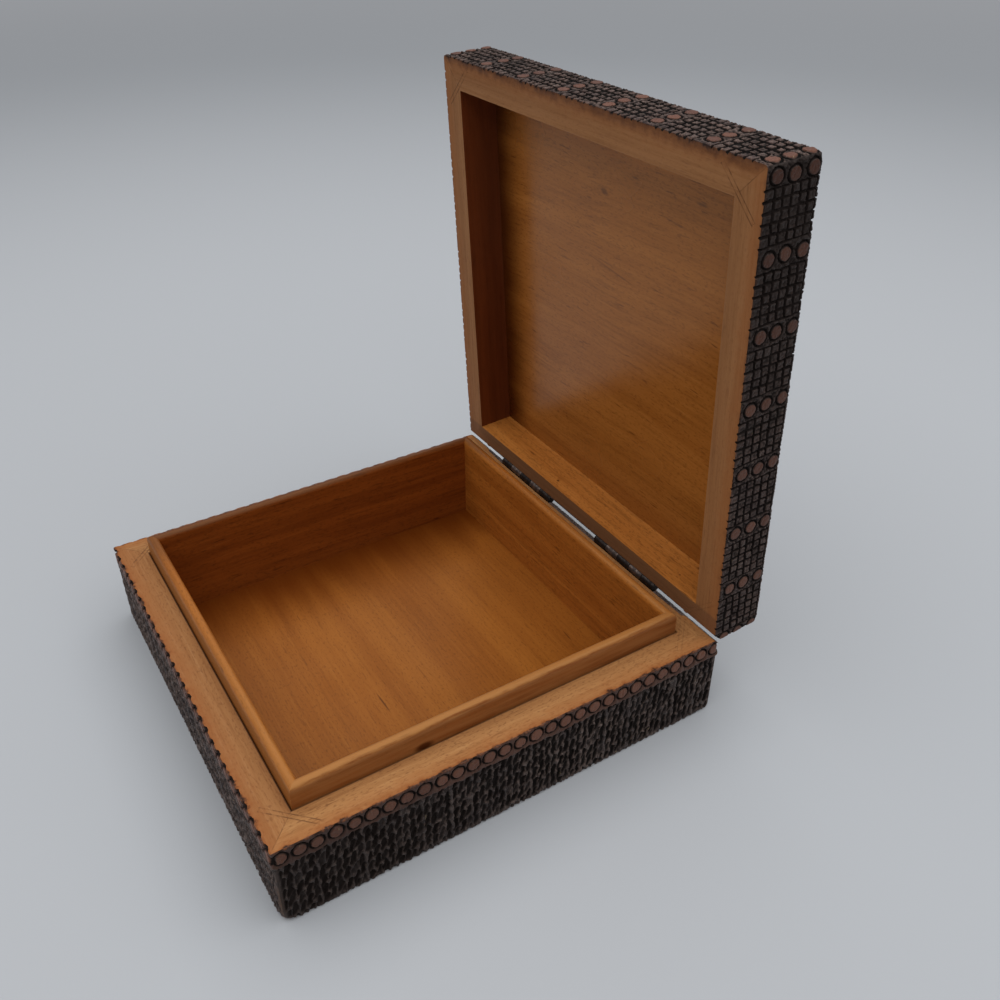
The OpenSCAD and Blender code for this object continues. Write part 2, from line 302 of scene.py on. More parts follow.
# The lid's walls: blocks of hatched tiles between columns of discs, and a row of discs on the top's border
lidCarve = {
    "columns": 8, "columnPitch": 16.8, "shift": {"front": -0.2, "right": 1.0, "back": 0.3, "left": -0.5},
    "endPull": 0.7, "circles": (2.9, 7.4, 12.15), "disc": 1.46, "discShift": 0.13, "discWarp": 0.7,
    "discTone": 0.75, "tiles": 5, "tileWide": 2.28, "tileHigh": 2.23, "blockSoft": 0.3, "firstLine": 0.2,
    "firstFade": (0.3, 0.9), "depth": 0.68, "depthCell": 3.1, "widthCell": 2.6, "lineSpread": 0.25,
    "lineWidth": {"front": 0.95, "right": 0.74, "back": 0.82, "left": 0.82, "top": 0.9},
    "upright": (1.05, 0.95), "levelDepth": 1.05, "shades": (97, 31), "shadeFrom": 200.5, "lift": 0.14,
    "cushion": 0.12, "ground": 0.2, "groundRough": 0.9, "groundCell": 0.55, "groundBare": 0.16,
    "tileBare": 0.06, "warp": 0.17, "warpCell": 1.6, "rough": 0.1, "roughCell": 0.4, "corner": (0.1, 0.9),
    "cornerDepth": 0.2,
}
topBorder = {"discs": 29, "inset": 3.0, "reach": 2.1, "bare": 0.16}


# Hatched tiles with sunk middles, each at its own height and shade
def tileBlock(s, t, across, warpT, rng, side):
    look = lidCarve
    wide, high = look["tileWide"], look["tileHigh"]
    lineS = across / wide + look["tiles"] / 2
    lineT = (t + warpT - look["firstLine"]) / high
    offS = (lineS - np.round(lineS)) * wide
    offT = (lineT - np.round(lineT)) * high
    width = look["lineWidth"][side] * (1 + look["lineSpread"] * uneven(s, t, look["widthCell"], rng))
    deep = look["depth"] * (1 + look["lineSpread"] * uneven(s, t, look["depthCell"], rng))
    wider, shallower = look["upright"]
    upright = knifeLine(offS, wider * width, shallower * deep)
    level = knifeLine(offT, width, look["levelDepth"] * deep) * smooth(*look["firstFade"], t)
    shades = rng.random((2, *look["shades"]))
    column = np.floor(s / wide + look["shadeFrom"]).astype(int) % look["shades"][0]
    row = np.floor(lineT).astype(int) % look["shades"][1]
    tone, lift = (shade[column, row] for shade in shades)
    cushion = look["cushion"] * ((2 * offS / wide) ** 2 + (2 * offT / high) ** 2 - 2) ** 2 / 4
    return np.maximum(np.maximum(upright, level), look["lift"] * lift + look["cushion"] - cushion), tone


# Columns of discs, the outermost ones drawn in from the corners
def discColumns(x, t, warpS, depth, bare, tone, rng):
    look = lidCarve
    last = look["columns"] - 1
    column = np.clip(np.round(x / look["columnPitch"] + last / 2), 0, last).astype(int)
    ends = look["endPull"] * ((column == 0) * 1.0 - (column == last))
    for level in look["circles"]:
        shift = rng.normal(0, look["discShift"], (2, look["columns"]))
        shade = rng.random(look["columns"])
        ds = x - (column - last / 2) * look["columnPitch"] - ends - shift[0][column]
        dt = t - level - shift[1][column]
        cut, flat = discCarve(ds, dt, look["disc"], look["discWarp"] * warpS)
        near = np.hypot(ds, dt) < look["disc"] + ringCut["outer"]
        depth = np.where(near, np.maximum(cut, look["ground"] * (1 - flat)), depth)
        bare = np.maximum(bare, flat)
        tone = np.where(flat > 0.5, look["discTone"] * shade[column], tone)
    return depth, bare, tone


def lidRelief(s, t, rng, side):
    look = lidCarve
    pitch = look["columnPitch"]
    corner = smooth(*look["corner"], half - np.abs(s))
    x = s - look["shift"][side]
    warpS = look["warp"] * uneven(s, t, look["warpCell"], rng) * corner
    warpT = look["warp"] * uneven(s, t, look["warpCell"], rng) * corner
    grit = look["rough"] * uneven(s, t, look["roughCell"], rng) * corner
    across = x - pitch * np.round(x / pitch) + warpS
    blockHalf = look["tiles"] * look["tileWide"] / 2
    inBlock = smooth(blockHalf + look["blockSoft"], blockHalf, np.abs(across))
    tiles, tone = tileBlock(s, t, across, warpT, rng, side)
    ground = look["ground"] * (1 + look["groundRough"] * uneven(s + t, t - s, look["groundCell"], rng))
    depth = np.maximum(tiles * inBlock, ground * (1 - inBlock))
    bare = look["groundBare"] + look["tileBare"] * inBlock
    depth, bare, tone = discColumns(x, t, warpS, depth, bare, tone, rng)
    depth = depth * corner + look["cornerDepth"] * (1 - corner) + grit
    # A row of discs runs along the border of the top
    level = wall["edgeR"]["lid"] * (math.pi / 2 - 1) + lidH + topBorder["inset"]
    ends = half - topBorder["inset"]
    cut, flat, shade = discRow(s, t, topBorder["discs"], 2 * ends / (topBorder["discs"] - 1), level, rng)
    onBorder = t > level - topBorder["reach"]
    depth = np.where(onBorder, cut, depth)
    bare = np.where(onBorder, np.maximum(flat, topBorder["bare"]), bare)
    tone = np.where(onBorder, shade, tone)
    return np.maximum(depth, 0), bare, tone, np.zeros_like(s)


# A carved wall is a core with the cabinet work and a carved skin over its outside
wall = {
    "skin": 1.2, "cell": 0.19, "cornerR": 1.25, "edgeR": {"base": 0.8, "lid": 2.5}, "panelGap": 0.15,
    "rimRound": 0.3, "rimRows": 6, "roundRows": 5, "plainRows": 3, "join": 1e-4, "endReach": 3,
    "endSlack": 1e-6,
    "backCut": {"base": 2.0, "lid": 2.8}, "recessR": 1.5, "recessRoom": 0.3, "recessSlack": 0.1,
    "faceSlack": 0.01, "cutSlack": 0.02, "bradInset": 2.0, "bradDrop": 3.8, "bradHole": 0.5,
    "bradSoft": 0.15, "bradDepth": 0.86, "wearSpread": 6,
    "cornerWear": {"base": (6.0, 4.0, 3.4, 4.0), "lid": (4.8, 4.4, 4.0, 4.4)},
    "rubInset": (1.8, 0.6), "rubWorn": (0.05, 0.3), "rawReach": (0.5, 0.2), "rawCarve": (0.3, 0.1),
    "raw": {"base": 0.85, "lid": 0.2}, "paintedShadeRun": (-0.8, 0.4), "paintedShadeElsewhere": (0.1, 0.1),
    # Painted shade for each wall at its near and far end, most on the right walls
    "paintedShade": {
        ("lid", "right"): (0.9, 0.5), ("lid", "front"): (0.2, 0.0), ("base", "right"): (0.7, 0.3),
        ("base", "front"): (0.0, 0.0),
    },
    # Stain with painted shade in the cuts: less on the base's front and right walls, and its own share on the
    # band of discs
    "stainAndShade": {("base", "front"): 0.62, ("base", "right"): 0.62}, "ringStainAndShade": 0.7, "band": (0.3, 0.6),
    "discClear": 0.4, "discTop": (0.7, 1.0),
}
rimStrip, carvedFace, plainFace, hiddenFace = range(4)
# The last layer is the share of painted shade
layerNames = ("carve", "bare", "tone", "rub", "raw", "paintedShade")


# Section of the skin, from the rim round to the border of the top or underside and back inside
# Each row holds depth, drop, its inward direction, the drop along the surface, and its kind
def skinSection(height, edge, cut, carvedBorder):
    skin = wall["skin"]
    border = half - panelHalf - wall["panelGap"]
    rows = []
    for depth in np.linspace(skin, 0 if cut else wall["rimRound"], wall["rimRows"]):
        rows.append((depth, max(0, cut - depth), 0, 0, max(0, cut - depth), rimStrip))
    if not cut:
        for turn in np.linspace(0, math.pi / 2, wall["roundRows"])[1:-1]:
            low = wall["rimRound"] * (1 - math.cos(turn))
            rows.append((wall["rimRound"] * (1 - math.sin(turn)), low, 1, 0, low, carvedFace))
    top = max(cut, wall["rimRound"])
    flat = height - edge
    for drop in np.linspace(top, flat, round((flat - top) / wall["cell"]) + 1):
        rows.append((0, drop, 1, 0, drop, carvedFace))
    for turn in np.linspace(0, math.pi / 2, round(edge * math.pi / 2 / wall["cell"]) + 1)[1:]:
        place = (edge * (1 - math.cos(turn)), flat + edge * math.sin(turn))
        rows.append((*place, math.cos(turn), -math.sin(turn), flat + edge * turn, carvedFace))
    count = round((border - edge) / wall["cell"]) if carvedBorder else wall["plainRows"]
    for depth in np.linspace(edge, border, count + 1)[1:]:
        reach = flat + edge * math.pi / 2 + depth - edge
        rows.append((depth, height, 0, -1, reach, carvedFace if carvedBorder else plainFace))
    within = [(edge, height - skin), (skin, flat)] if edge > skin else [(skin, height - skin)]
    for depth, drop in [(border, height - skin), *within, (skin, max(0, cut - skin))]:
        rows.append((depth, drop, 0, 0, 0, hiddenFace))
    return np.array(rows, float)


# Core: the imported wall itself, trimmed back under the skin
def wallCore(node, home, height, edge):
    bm = cadCopy(node, home.inverted())
    skin = wall["skin"]
    cuts = [((0, skin - half, 0), (0, -1, 0)), ((0, 0, height - skin), (0, 0, 1))]
    if edge > skin:
        cuts.append(((0, skin - half, height - edge), (0, -math.sqrt(0.5), math.sqrt(0.5))))
    for place, outwards in cuts:
        trim = {"plane_co": place, "plane_no": outwards, "dist": wall["join"], "clear_outer": True}
        made = bmesh.ops.bisect_plane(bm, geom=bm.verts[:] + bm.edges[:] + bm.faces[:], **trim)
        edges = [e for e in made["geom_cut"] if isinstance(e, bmesh.types.BMEdge)]
        bmesh.ops.triangle_fill(bm, edges=edges, use_beauty=True, normal=outwards)
    return bm


# Materials of a wall, by slot
carvedSlot, rimSlot, insideSlot = range(3)


# Distance of a point on a wall from the box's back face
def fromBack(side, place):
    return {"back": place.y + half, "right": half - place.x, "left": half + place.x}.get(side, 2 * half)


# The back edge's chamfer and the hinge recesses are stained like the carving
def coreSlots(bm, body, side):
    cut = wall["backCut"][body]
    recess = wall["recessR"] + wall["recessSlack"]
    pinDrop = pinLevel(body)
    for face in bm.faces:
        spots = [(fromBack(side, v.co), v.co.z) for v in face.verts]
        inside = all(abs(v.co.y + half - wallT) < wall["faceSlack"] for v in face.verts)
        onCut = all(abs(back + drop - cut) < wall["cutSlack"] for back, drop in spots)
        inRecess = all(math.hypot(back - pinDepth, drop - pinDrop) < recess for back, drop in spots)
        stained = onCut or (side == "back" and inRecess)
        face.material_index = carvedSlot if stained else insideSlot if inside else rimSlot


# Small holes over the brads that hold the hinges
def bradHoles(s, drop, carve):
    for node in hingePins:
        low, high = boxOf(node)
        for x in (low.x + wall["bradInset"], high.x - wall["bradInset"]):
            near = np.hypot(s + x, drop - wall["bradDrop"])
            hole = smooth(wall["bradHole"] + wall["bradSoft"], wall["bradHole"], near)
            carve = np.maximum(carve, wall["bradDepth"] * hole)
    return carve


# The ends are drawn in so that the cut edges of two walls still meet on the mitre
def drawnEnds(s, share, end, short, rowOf):
    atEnd = np.abs(np.abs(share) - 0.5) < wall["endSlack"]
    for sign in (-1, 1):
        picked = atEnd & (np.sign(share) == sign)
        rowShort = np.zeros(rowOf.max() + 1)
        rowShort[rowOf[picked]] = short[picked]
        pull = np.clip((sign * s - end + wall["endReach"]) / wall["endReach"], 0, 1) ** 2
        s = s - sign * pull * rowShort[rowOf]
    return s


# The outer corners are worn round, alike on both walls that meet there
def wornCorners(s, depth, drop, body, side, height):
    worn = np.zeros_like(s)
    for sign in (-1, 1):
        reach = wall["cornerWear"][body][(quarters[side] + (sign - 1) // 2) % 4]
        near = np.clip(reach - (half - sign * s) - depth - (height - drop), 0, None)
        push = near ** 2 / (wall["wearSpread"] * reach)
        s = s - sign * push
        depth = depth + push
        drop = drop - push
        worn = worn + push
    return s, depth, drop, worn


# The back edge is chamfered for the hinges, and the hinge's recess takes a little more
def hingeCuts(s, depth, drop, body, side):
    backEnd = {"right": 1, "left": -1}.get(side)
    if backEnd:
        drop = np.maximum(drop, wall["backCut"][body] - (half - backEnd * s))
    if side == "back":
        room = np.maximum(0, wall["recessR"] ** 2 - (depth - pinDepth) ** 2)
        for node in hingePins:
            low, high = boxOf(node)
            beside = (-s > low.x - wall["recessRoom"]) & (-s < high.x + wall["recessRoom"]) & (room > 0)
            drop = np.where(beside, np.maximum(drop, pinLevel(body) + np.sqrt(room)), drop)
    return drop


# Painted shade: each wall gets its own share, most on the right walls, where less light falls; it changes
# from one end of a wall to the other and lies thinner on the discs
def wallPaintedShade(s, paintedShade, bare, body, side):
    near, far = wall["paintedShade"].get((body, side), wall["paintedShadeElsewhere"])
    start, end = (share * half for share in wall["paintedShadeRun"])
    paintedShade = np.maximum(paintedShade, near + (far - near) * smooth(start, end, s))
    return paintedShade * (1 - wall["discClear"] * smooth(*wall["discTop"], bare))


# How dark the cuts are painted, stain with painted shade over it, with the base's band of discs on its own
# share
def cutStainAndShade(carve, bare, body, side):
    cuts = carve / ripple["depth"]
    onBand = smooth(*wall["band"], bare) * (body == "base")
    banded = (1 + (wall["ringStainAndShade"] - 1) * onBand) * cuts
    return np.where(onBand > 0, banded, wall["stainAndShade"].get((body, side), 1) * cuts)


def skinSlots(bm, verts, kind, cut):
    bm.verts.index_update()
    kinds = dict(zip((v.index for v in verts), kind))
    for face in {f for v in verts for f in v.link_faces}:
        plain = any(kinds[v.index] in (plainFace, hiddenFace) for v in face.verts)
        rim = not cut and all(kinds[v.index] == rimStrip for v in face.verts)
        face.material_index = rimSlot if plain or rim else carvedSlot
        face.smooth = True


def newLayers(bm):
    return [bm.verts.layers.float.new(name) for name in layerNames]


def setShares(v, layers, shares):
    for layer, share in zip(layers, shares):
        v[layer] = share


def wallSkin(bm, body, side, height, relief, seed):
    rng = np.random.default_rng(seed)
    cut = wall["backCut"][body] if side == "back" else 0
    section = skinSection(height, wall["edgeR"][body], cut, body == "lid")
    columns = round(2 * half / wall["cell"])
    layers = newLayers(bm)
    verts = bmesh.ops.create_grid(bm, x_segments=columns, y_segments=len(section) - 1, size=0.5)["verts"]
    flat = np.array([v.co for v in verts])
    rowOf = np.round((flat[:, 1] + 0.5) * (len(section) - 1)).astype(int)
    depth0, drop0, inDepth, inDrop, reach, kind = section[rowOf].T
    outside = kind == carvedFace

    # Along the wall, each row ends on the mitre
    r = wall["cornerR"]
    start = np.maximum(depth0, r * (1 - math.sqrt(0.5)))
    end = half - start
    s = 2 * flat[:, 0] * end
    carve, bare, tone, paintedShade = relief(s, reach, rng, side)
    if side == "back":
        carve = bradHoles(s, drop0, carve)
    carve = np.where(outside | (kind == rimStrip), carve, 0)

    # Carving goes inwards from the rounded corner, and on the rim it presses the edge back
    inset = half - np.abs(s)
    rounding = np.where(inset < r, r - np.sqrt(np.maximum(0, r * r - (r - inset) ** 2)), 0)
    depth = np.maximum(depth0, rounding)
    pressed = np.maximum(depth, carve + rounding)
    depth = np.where(kind == rimStrip, pressed, depth + inDepth * carve)
    drop = drop0 + inDrop * carve
    s = drawnEnds(s, flat[:, 0], end, depth - start, rowOf)
    s, depth, drop, worn = wornCorners(s, depth, drop, body, side, height)
    drop = hingeCuts(s, depth, drop, body, side)

    # Shares that the stain's material reads: stain with painted shade in the cuts, bare tops, tone, rubbed
    # wear, raw wood and painted shade
    onEdge = np.where(inDepth * -inDrop > 0, 4 * (inDepth * inDrop) ** 2, 0)
    rub = np.maximum(onEdge, smooth(*wall["rubInset"], inset))
    rub = np.maximum(rub, smooth(*wall["rubWorn"], worn)) * outside
    raw = smooth(*wall["rawReach"], reach) * smooth(*wall["rawCarve"], carve) * outside
    raw = raw * (cut == 0) * wall["raw"][body]
    paintedShade = wallPaintedShade(s, paintedShade, bare, body, side) * outside
    stained = cutStainAndShade(carve, bare, body, side)
    shares = np.stack([stained, bare * outside, tone, rub, raw, paintedShade], 1)
    for k, v in enumerate(verts):
        v.co = (s[k], depth[k] - half, drop[k])
        setShares(v, layers, shares[k])
    skinSlots(bm, verts, kind, cut)
    bmesh.ops.remove_doubles(bm, verts=verts, dist=wall["join"])
    openEdges = [e for e in bm.edges if e.is_boundary]
    bmesh.ops.edgeloop_fill(bm, edges=openEdges, mat_nr=carvedSlot)


def carvedWall(body, side, seed):
    node = f"{body}_{side}_wall"
    height = baseH if body == "base" else lidH
    home = wallHome(body, side)
    bm = wallCore(node, home, height, wall["edgeR"][body])
    coreSlots(bm, body, side)
    wallSkin(bm, body, side, height, baseRelief if body == "base" else lidRelief, seed)
    piece = finishMesh(f"{node}_carved", bm, home)
    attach(piece, body)
    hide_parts(node)
    return piece


# Splines are swelled to fill their slots, so that only a thin line shows round them
spline = {"length": 12.5, "thick": 0.9, "endFill": 0.46, "faceFill": 0.065}


def filledSpline(body, corner):
    node = f"{body}_spline_{corner}"
    turn = toShut if body == "lid" else Matrix.Identity(4)
    bm = cadCopy(node, turn)
    spots = np.array([v.co for v in bm.verts])
    middle = Vector((spots.max(0) + spots.min(0)) / 2)
    along = Vector((1, -math.copysign(1, middle.x * middle.y), 0)).normalized()
    across = Vector((-along.y, along.x, 0))
    longer = Matrix.Scale(1 + 2 * spline["endFill"] / spline["length"], 4, along)
    thicker = Matrix.Scale(1 + 2 * spline["faceFill"] / spline["thick"], 4, across)
    home = turn.inverted() @ Matrix.Translation(middle) @ longer @ thicker @ Matrix.Translation(-middle)
    piece = finishMesh(f"{node}_fitted", bm, home)
    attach(piece, body)
    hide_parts(node)
    return piece


# Liner strips: mitred, with tops rounded over nearly their whole thickness
liner = {"across": 1.3, "down": 1.5, "steps": 9, "support": 0.15}


def roundedLiner(side):
    low, high = boxOf("liner_front")
    thick = high.y - low.y
    shoulder = high.z - liner["down"]
    outer = [(0, low.z), (0, shoulder - liner["support"])]
    for turn in np.linspace(0, math.pi / 2, liner["steps"]):
        outer.append((liner["across"] * (1 - math.cos(turn)), shoulder + liner["down"] * math.sin(turn)))
    section = outer + [(thick - depth, level) for depth, level in reversed(outer)]
    bm = bmesh.new()
    places = [(depth - high.x, low.y + depth, level) for depth, level in section]
    profile = bm.faces.new([bm.verts.new(place) for place in places])
    made = bmesh.ops.extrude_face_region(bm, geom=[profile], use_keep_orig=True)["geom"]
    for v in (g for g in made if isinstance(g, bmesh.types.BMVert)):
        v.co.x = -v.co.x
    for face in bm.faces:
        face.smooth = len(face.verts) == 4
    sortFaces(bm)
    piece = finishMesh(f"liner_{side}_rounded", bm, sideTurn(side))
    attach(piece, "base")
    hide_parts(f"liner_{side}")
    return piece


# The lid's top: a compass rosette in a ring of discs, in a rippled field with a hatched border
lidTopCarve = {
    "cells": 300, "rosetteR": 24.0, "petalDepth": 0.85, "petalPower": 0.85, "petalOver": 0.5,
    "petalStainAndShade": 0.58, "chipAt": 0.8, "circleR": 27.0, "discCircleR": 30.6, "discs": 46, "outerR": 34.2,
    "outerRoom": 0.4, "bare": 0.42, "hatch": (0.9, 5.3), "hatchSoft": 0.2, "discInset": 8.2, "rowDiscs": 23,
    "rowReach": 2.2, "fieldInset": 11.2, "fieldStart": (0.5, 1.0), "fieldShift": 200, "fieldTone": 0.3,
    "line": 0.7, "lineDepth": 0.55, "edgeRound": 0.4, "rub": (1.0, 0.3),
}


# Medallion in the middle: six petals, a disc between each two, a ring of discs and three lines
def rosette(x, y, depth, bare):
    look = lidTopCarve
    radius = np.hypot(x, y)
    inner = radius < look["outerR"] + look["outerRoom"]
    depth = np.where(inner, 0, depth)
    bare = np.where(inner, look["bare"], bare)
    arcR = look["rosetteR"]
    centres = [(arcR * math.cos(k * math.pi / 3), arcR * math.sin(k * math.pi / 3)) for k in range(6)]
    inside = [arcR - np.hypot(x - a, y - b) for a, b in centres]
    petalHalf = arcR * (1 - math.sqrt(0.75))
    for k in range(6):
        petal = np.minimum(inside[k - 1], inside[(k + 1) % 6])
        vee = look["petalDepth"] * np.clip(petal / petalHalf, 0, 1) ** look["petalPower"]
        depth = np.where(radius < arcR + look["petalOver"], np.maximum(depth, vee), depth)
    chipR = look["chipAt"] * arcR
    for k in range(6):
        turn = (k + 0.5) * math.pi / 3
        chip = np.hypot(x - chipR * math.cos(turn), y - chipR * math.sin(turn))
        cut, flat = discCarve(chip, 0, ringCut["disc"], 0)
        near = chip < ringCut["disc"] + ringCut["outer"]
        depth = np.where(near, cut, depth)
        bare = np.where(near, np.maximum(bare, flat), bare)
    which = np.round(np.arctan2(y, x) / (2 * math.pi) * look["discs"])
    turn = which * 2 * math.pi / look["discs"]
    ds = x - look["discCircleR"] * np.cos(turn)
    dt = y - look["discCircleR"] * np.sin(turn)
    cut, flat = discCarve(ds, dt, ringCut["disc"], 0)
    depth = np.maximum(depth, cut)
    for ring in (arcR, look["circleR"], look["outerR"]):
        depth = np.maximum(depth, knifeLine(radius - ring, look["line"], look["lineDepth"]))
    # The rosette's long cuts get less painted stain and shade than the small ones
    stainAndShadeShare = np.where(radius < look["circleR"] - look["line"], look["petalStainAndShade"], 1)
    return depth, np.maximum(bare, flat), stainAndShadeShare


# Like the walls' reliefs, but with the share of stain and painted shade in its cuts in place of the share of
# painted shade
def topRelief(x, y, rng):
    look = lidTopCarve
    inset = panelHalf - np.maximum(np.abs(x), np.abs(y))
    fieldFrom, fieldFull = (look["fieldInset"] + start for start in look["fieldStart"])
    depth = rippleCarve(x, y + look["fieldShift"], rng) * smooth(fieldFrom, fieldFull, inset)
    tone = rng.random(len(x)) * look["fieldTone"]
    depth, bare, stainAndShadeShare = rosette(x, y, depth, np.zeros_like(x))
    # Border: hatching, a row of discs and a line on each side
    low, high = look["hatch"]
    span = np.where(np.abs(x) > np.abs(y), y, x)
    pitch = lidCarve["tileWide"]
    band = smooth(low - look["hatchSoft"], low, inset) * smooth(high + look["hatchSoft"], high, inset)
    cross = knifeLine(span - pitch * np.round(span / pitch), lidCarve["lineWidth"]["top"], lidCarve["depth"])
    depth = np.where(inset < fieldFrom, cross * band, depth)
    for level in (low, (low + high) / 2, high, look["fieldInset"]):
        depth = np.maximum(depth, knifeLine(inset - level, look["line"], look["lineDepth"]))
    rowPitch = 2 * (panelHalf - look["discInset"]) / (look["rowDiscs"] - 1)
    cut, flat, shade = discRow(span, inset, look["rowDiscs"], rowPitch, look["discInset"], rng)
    onRow = np.abs(inset - look["discInset"]) < look["rowReach"]
    depth = np.where(onRow, np.maximum(depth, cut), depth)
    bare = np.where(onRow, np.maximum(flat, look["bare"]), bare)
    tone = np.where(onRow, shade, tone)
    return depth, bare, tone, stainAndShadeShare


def carvedTop(seed):
    look = lidTopCarve
    node = "lid_panel"
    rng = np.random.default_rng(seed)
    home = wallHome("lid", "front")
    levels = [(home.inverted() @ v.co).z for v in cadNodes[node].data.vertices]
    bm = bmesh.new()
    layers = newLayers(bm)
    cells = look["cells"]
    verts = bmesh.ops.create_grid(bm, x_segments=cells, y_segments=cells, size=panelHalf)["verts"]
    flat = np.array([v.co for v in verts])
    depth, bare, tone, stainAndShadeShare = topRelief(flat[:, 0], flat[:, 1], rng)
    inset = panelHalf - np.abs(flat[:, :2]).max(1)
    depth = depth + look["edgeRound"] * smooth(look["edgeRound"], 0, inset)
    none = np.zeros_like(depth)
    stained = stainAndShadeShare * depth / ripple["depth"]
    shares = np.stack([stained, bare, tone, smooth(*look["rub"], inset), none, none], 1)
    for k, v in enumerate(verts):
        v.co.z = max(levels) - depth[k]
        setShares(v, layers, shares[k])
    for face in bm.faces:
        face.material_index = carvedSlot
        face.smooth = True
    # Sides and the smooth inner face
    rimEdges = [e for e in bm.edges if e.is_boundary]
    made = bmesh.ops.extrude_edge_only(bm, edges=rimEdges)["geom"]
    for v in (g for g in made if isinstance(g, bmesh.types.BMVert)):
        v.co.z = min(levels)
    for face in (g for g in made if isinstance(g, bmesh.types.BMFace)):
        face.material_index = rimSlot
    lowEdges = [e for e in bm.edges if e.is_boundary]
    for face in bmesh.ops.edgeloop_fill(bm, edges=lowEdges)["faces"]:
        face.material_index = insideSlot
    sortFaces(bm)
    piece = finishMesh("lid_panel_carved", bm, home)
    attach(piece, "lid")
    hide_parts(node)
    return piece


seeds = {"walls": 40, "top": 71}
walls = {}
for number, (body, side) in enumerate((b, s) for b in ("base", "lid") for s in quarters):
    walls[body, side] = carvedWall(body, side, seeds["walls"] + number)
    print("carved", body, side, len(walls[body, side].data.polygons), "faces")
lidTop = carvedTop(seeds["top"])
print("carved lid top", len(lidTop.data.polygons), "faces")


# Small helpers for shader nodes
def linear(c):
    c = c / 255
    return c / 12.92 if c <= 0.04045 else ((c + 0.055) / 1.055) ** 2.4


def colour(red, green, blue):
    return tuple(linear(c) for c in (red, green, blue)) + (1.0,)


def wireUp(mat, node, wires):
    for key, value in wires.items():
        if isinstance(value, bpy.types.NodeSocket):
            mat.node_tree.links.new(value, node.inputs[key])
        else:
            node.inputs[key].default_value = value


def addNode(mat, kind, wires, **settings):
    made = mat.node_tree.nodes.new(kind)
    for key, value in settings.items():
        setattr(made, key, value)
    wireUp(mat, made, wires)
    return made


def calc(mat, operation, a, b=0.0):
    return addNode(mat, "ShaderNodeMath", {0: a, 1: b}, operation=operation).outputs[0]


def times(mat, a, b):
    return calc(mat, "MULTIPLY", a, b)


def most(mat, a, b):
    return calc(mat, "MAXIMUM", a, b)


def absolute(mat, a):
    return calc(mat, "ABSOLUTE", a)


def spread(mat, value, low, high, start=0.0, end=1.0):
    wires = {"Value": value, "From Min": low, "From Max": high, "To Min": start, "To Max": end}
    return addNode(mat, "ShaderNodeMapRange", wires, interpolation_type="SMOOTHSTEP").outputs["Result"]


# The same between two lengths in mm
def spreadMm(mat, value, low, high, start=0.0, end=1.0):
    return spread(mat, value, low * mm, high * mm, start, end)


def mixed(mat, share, first, second):
    wires = {0: share, 6: first, 7: second}
    return addNode(mat, "ShaderNodeMix", wires, data_type="RGBA").outputs[2]


# Coats of a look's colours over one another, each by its own share
def coated(mat, body, look, coats):
    for key, share in coats:
        body = mixed(mat, share, body, colour(*look[key]))
    return body


def noise(mat, place, scale, detail=3.0, roughness=0.5):
    wires = {"Vector": place, "Scale": scale, "Detail": detail, "Roughness": roughness}
    return addNode(mat, "ShaderNodeTexNoise", wires).outputs["Fac"]


# Noise with a scale of its own along each axis
def longNoise(mat, place, scales, detail=3.0, roughness=0.5):
    wires = {0: place, 1: scales}
    stretched = addNode(mat, "ShaderNodeVectorMath", wires, operation="MULTIPLY").outputs[0]
    return noise(mat, stretched, 1, detail, roughness)


# A noise about zero, up to half of wide to each side, added to a measure
def ragged(mat, value, rough, wide):
    return calc(mat, "ADD", value, times(mat, calc(mat, "SUBTRACT", rough, 0.5), wide))


def attribute(mat, name):
    return addNode(mat, "ShaderNodeAttribute", {}, attribute_name=name).outputs["Fac"]


def bumped(mat, shader, height, distance, strength):
    wires = {"Height": height, "Distance": distance, "Strength": strength}
    wireUp(mat, shader, {"Normal": addNode(mat, "ShaderNodeBump", wires).outputs["Normal"]})


def newMaterial(name):
    mat = bpy.data.materials.new(name)
    mat.use_nodes = True
    return mat, mat.node_tree.nodes["Principled BSDF"]


# Place on the box with the lid shut, so that base and lid share the same wood rules
def boxPlace(mat, onLid):
    place = addNode(mat, "ShaderNodeTexCoord", {}).outputs["Object"]
    if not onLid:
        return place
    turn = Matrix.Rotation(openAngle, 3, "X")
    wires = {"Vector": place, "Location": pin - turn @ pin, "Rotation": (openAngle, 0, 0)}
    return addNode(mat, "ShaderNodeMapping", wires, vector_type="POINT").outputs[0]


# Along and across the grain: walls run along their own side, panels along x
def grainPlace(mat, place, byWall):
    parts = addNode(mat, "ShaderNodeSeparateXYZ", {0: place}).outputs
    if not byWall:
        return place, parts
    side = calc(mat, "GREATER_THAN", absolute(mat, parts["X"]), absolute(mat, parts["Y"]))
    swapped = addNode(mat, "ShaderNodeCombineXYZ", {0: parts["Y"], 1: parts["X"], 2: parts["Z"]}).outputs[0]
    made = addNode(mat, "ShaderNodeMix", {0: side, 4: place, 5: swapped}, data_type="VECTOR")
    return made.outputs[1], parts


def edgeDistance(mat, parts):
    far = most(mat, absolute(mat, parts["X"]), absolute(mat, parts["Y"]))
    return calc(mat, "SUBTRACT", half * mm, far)


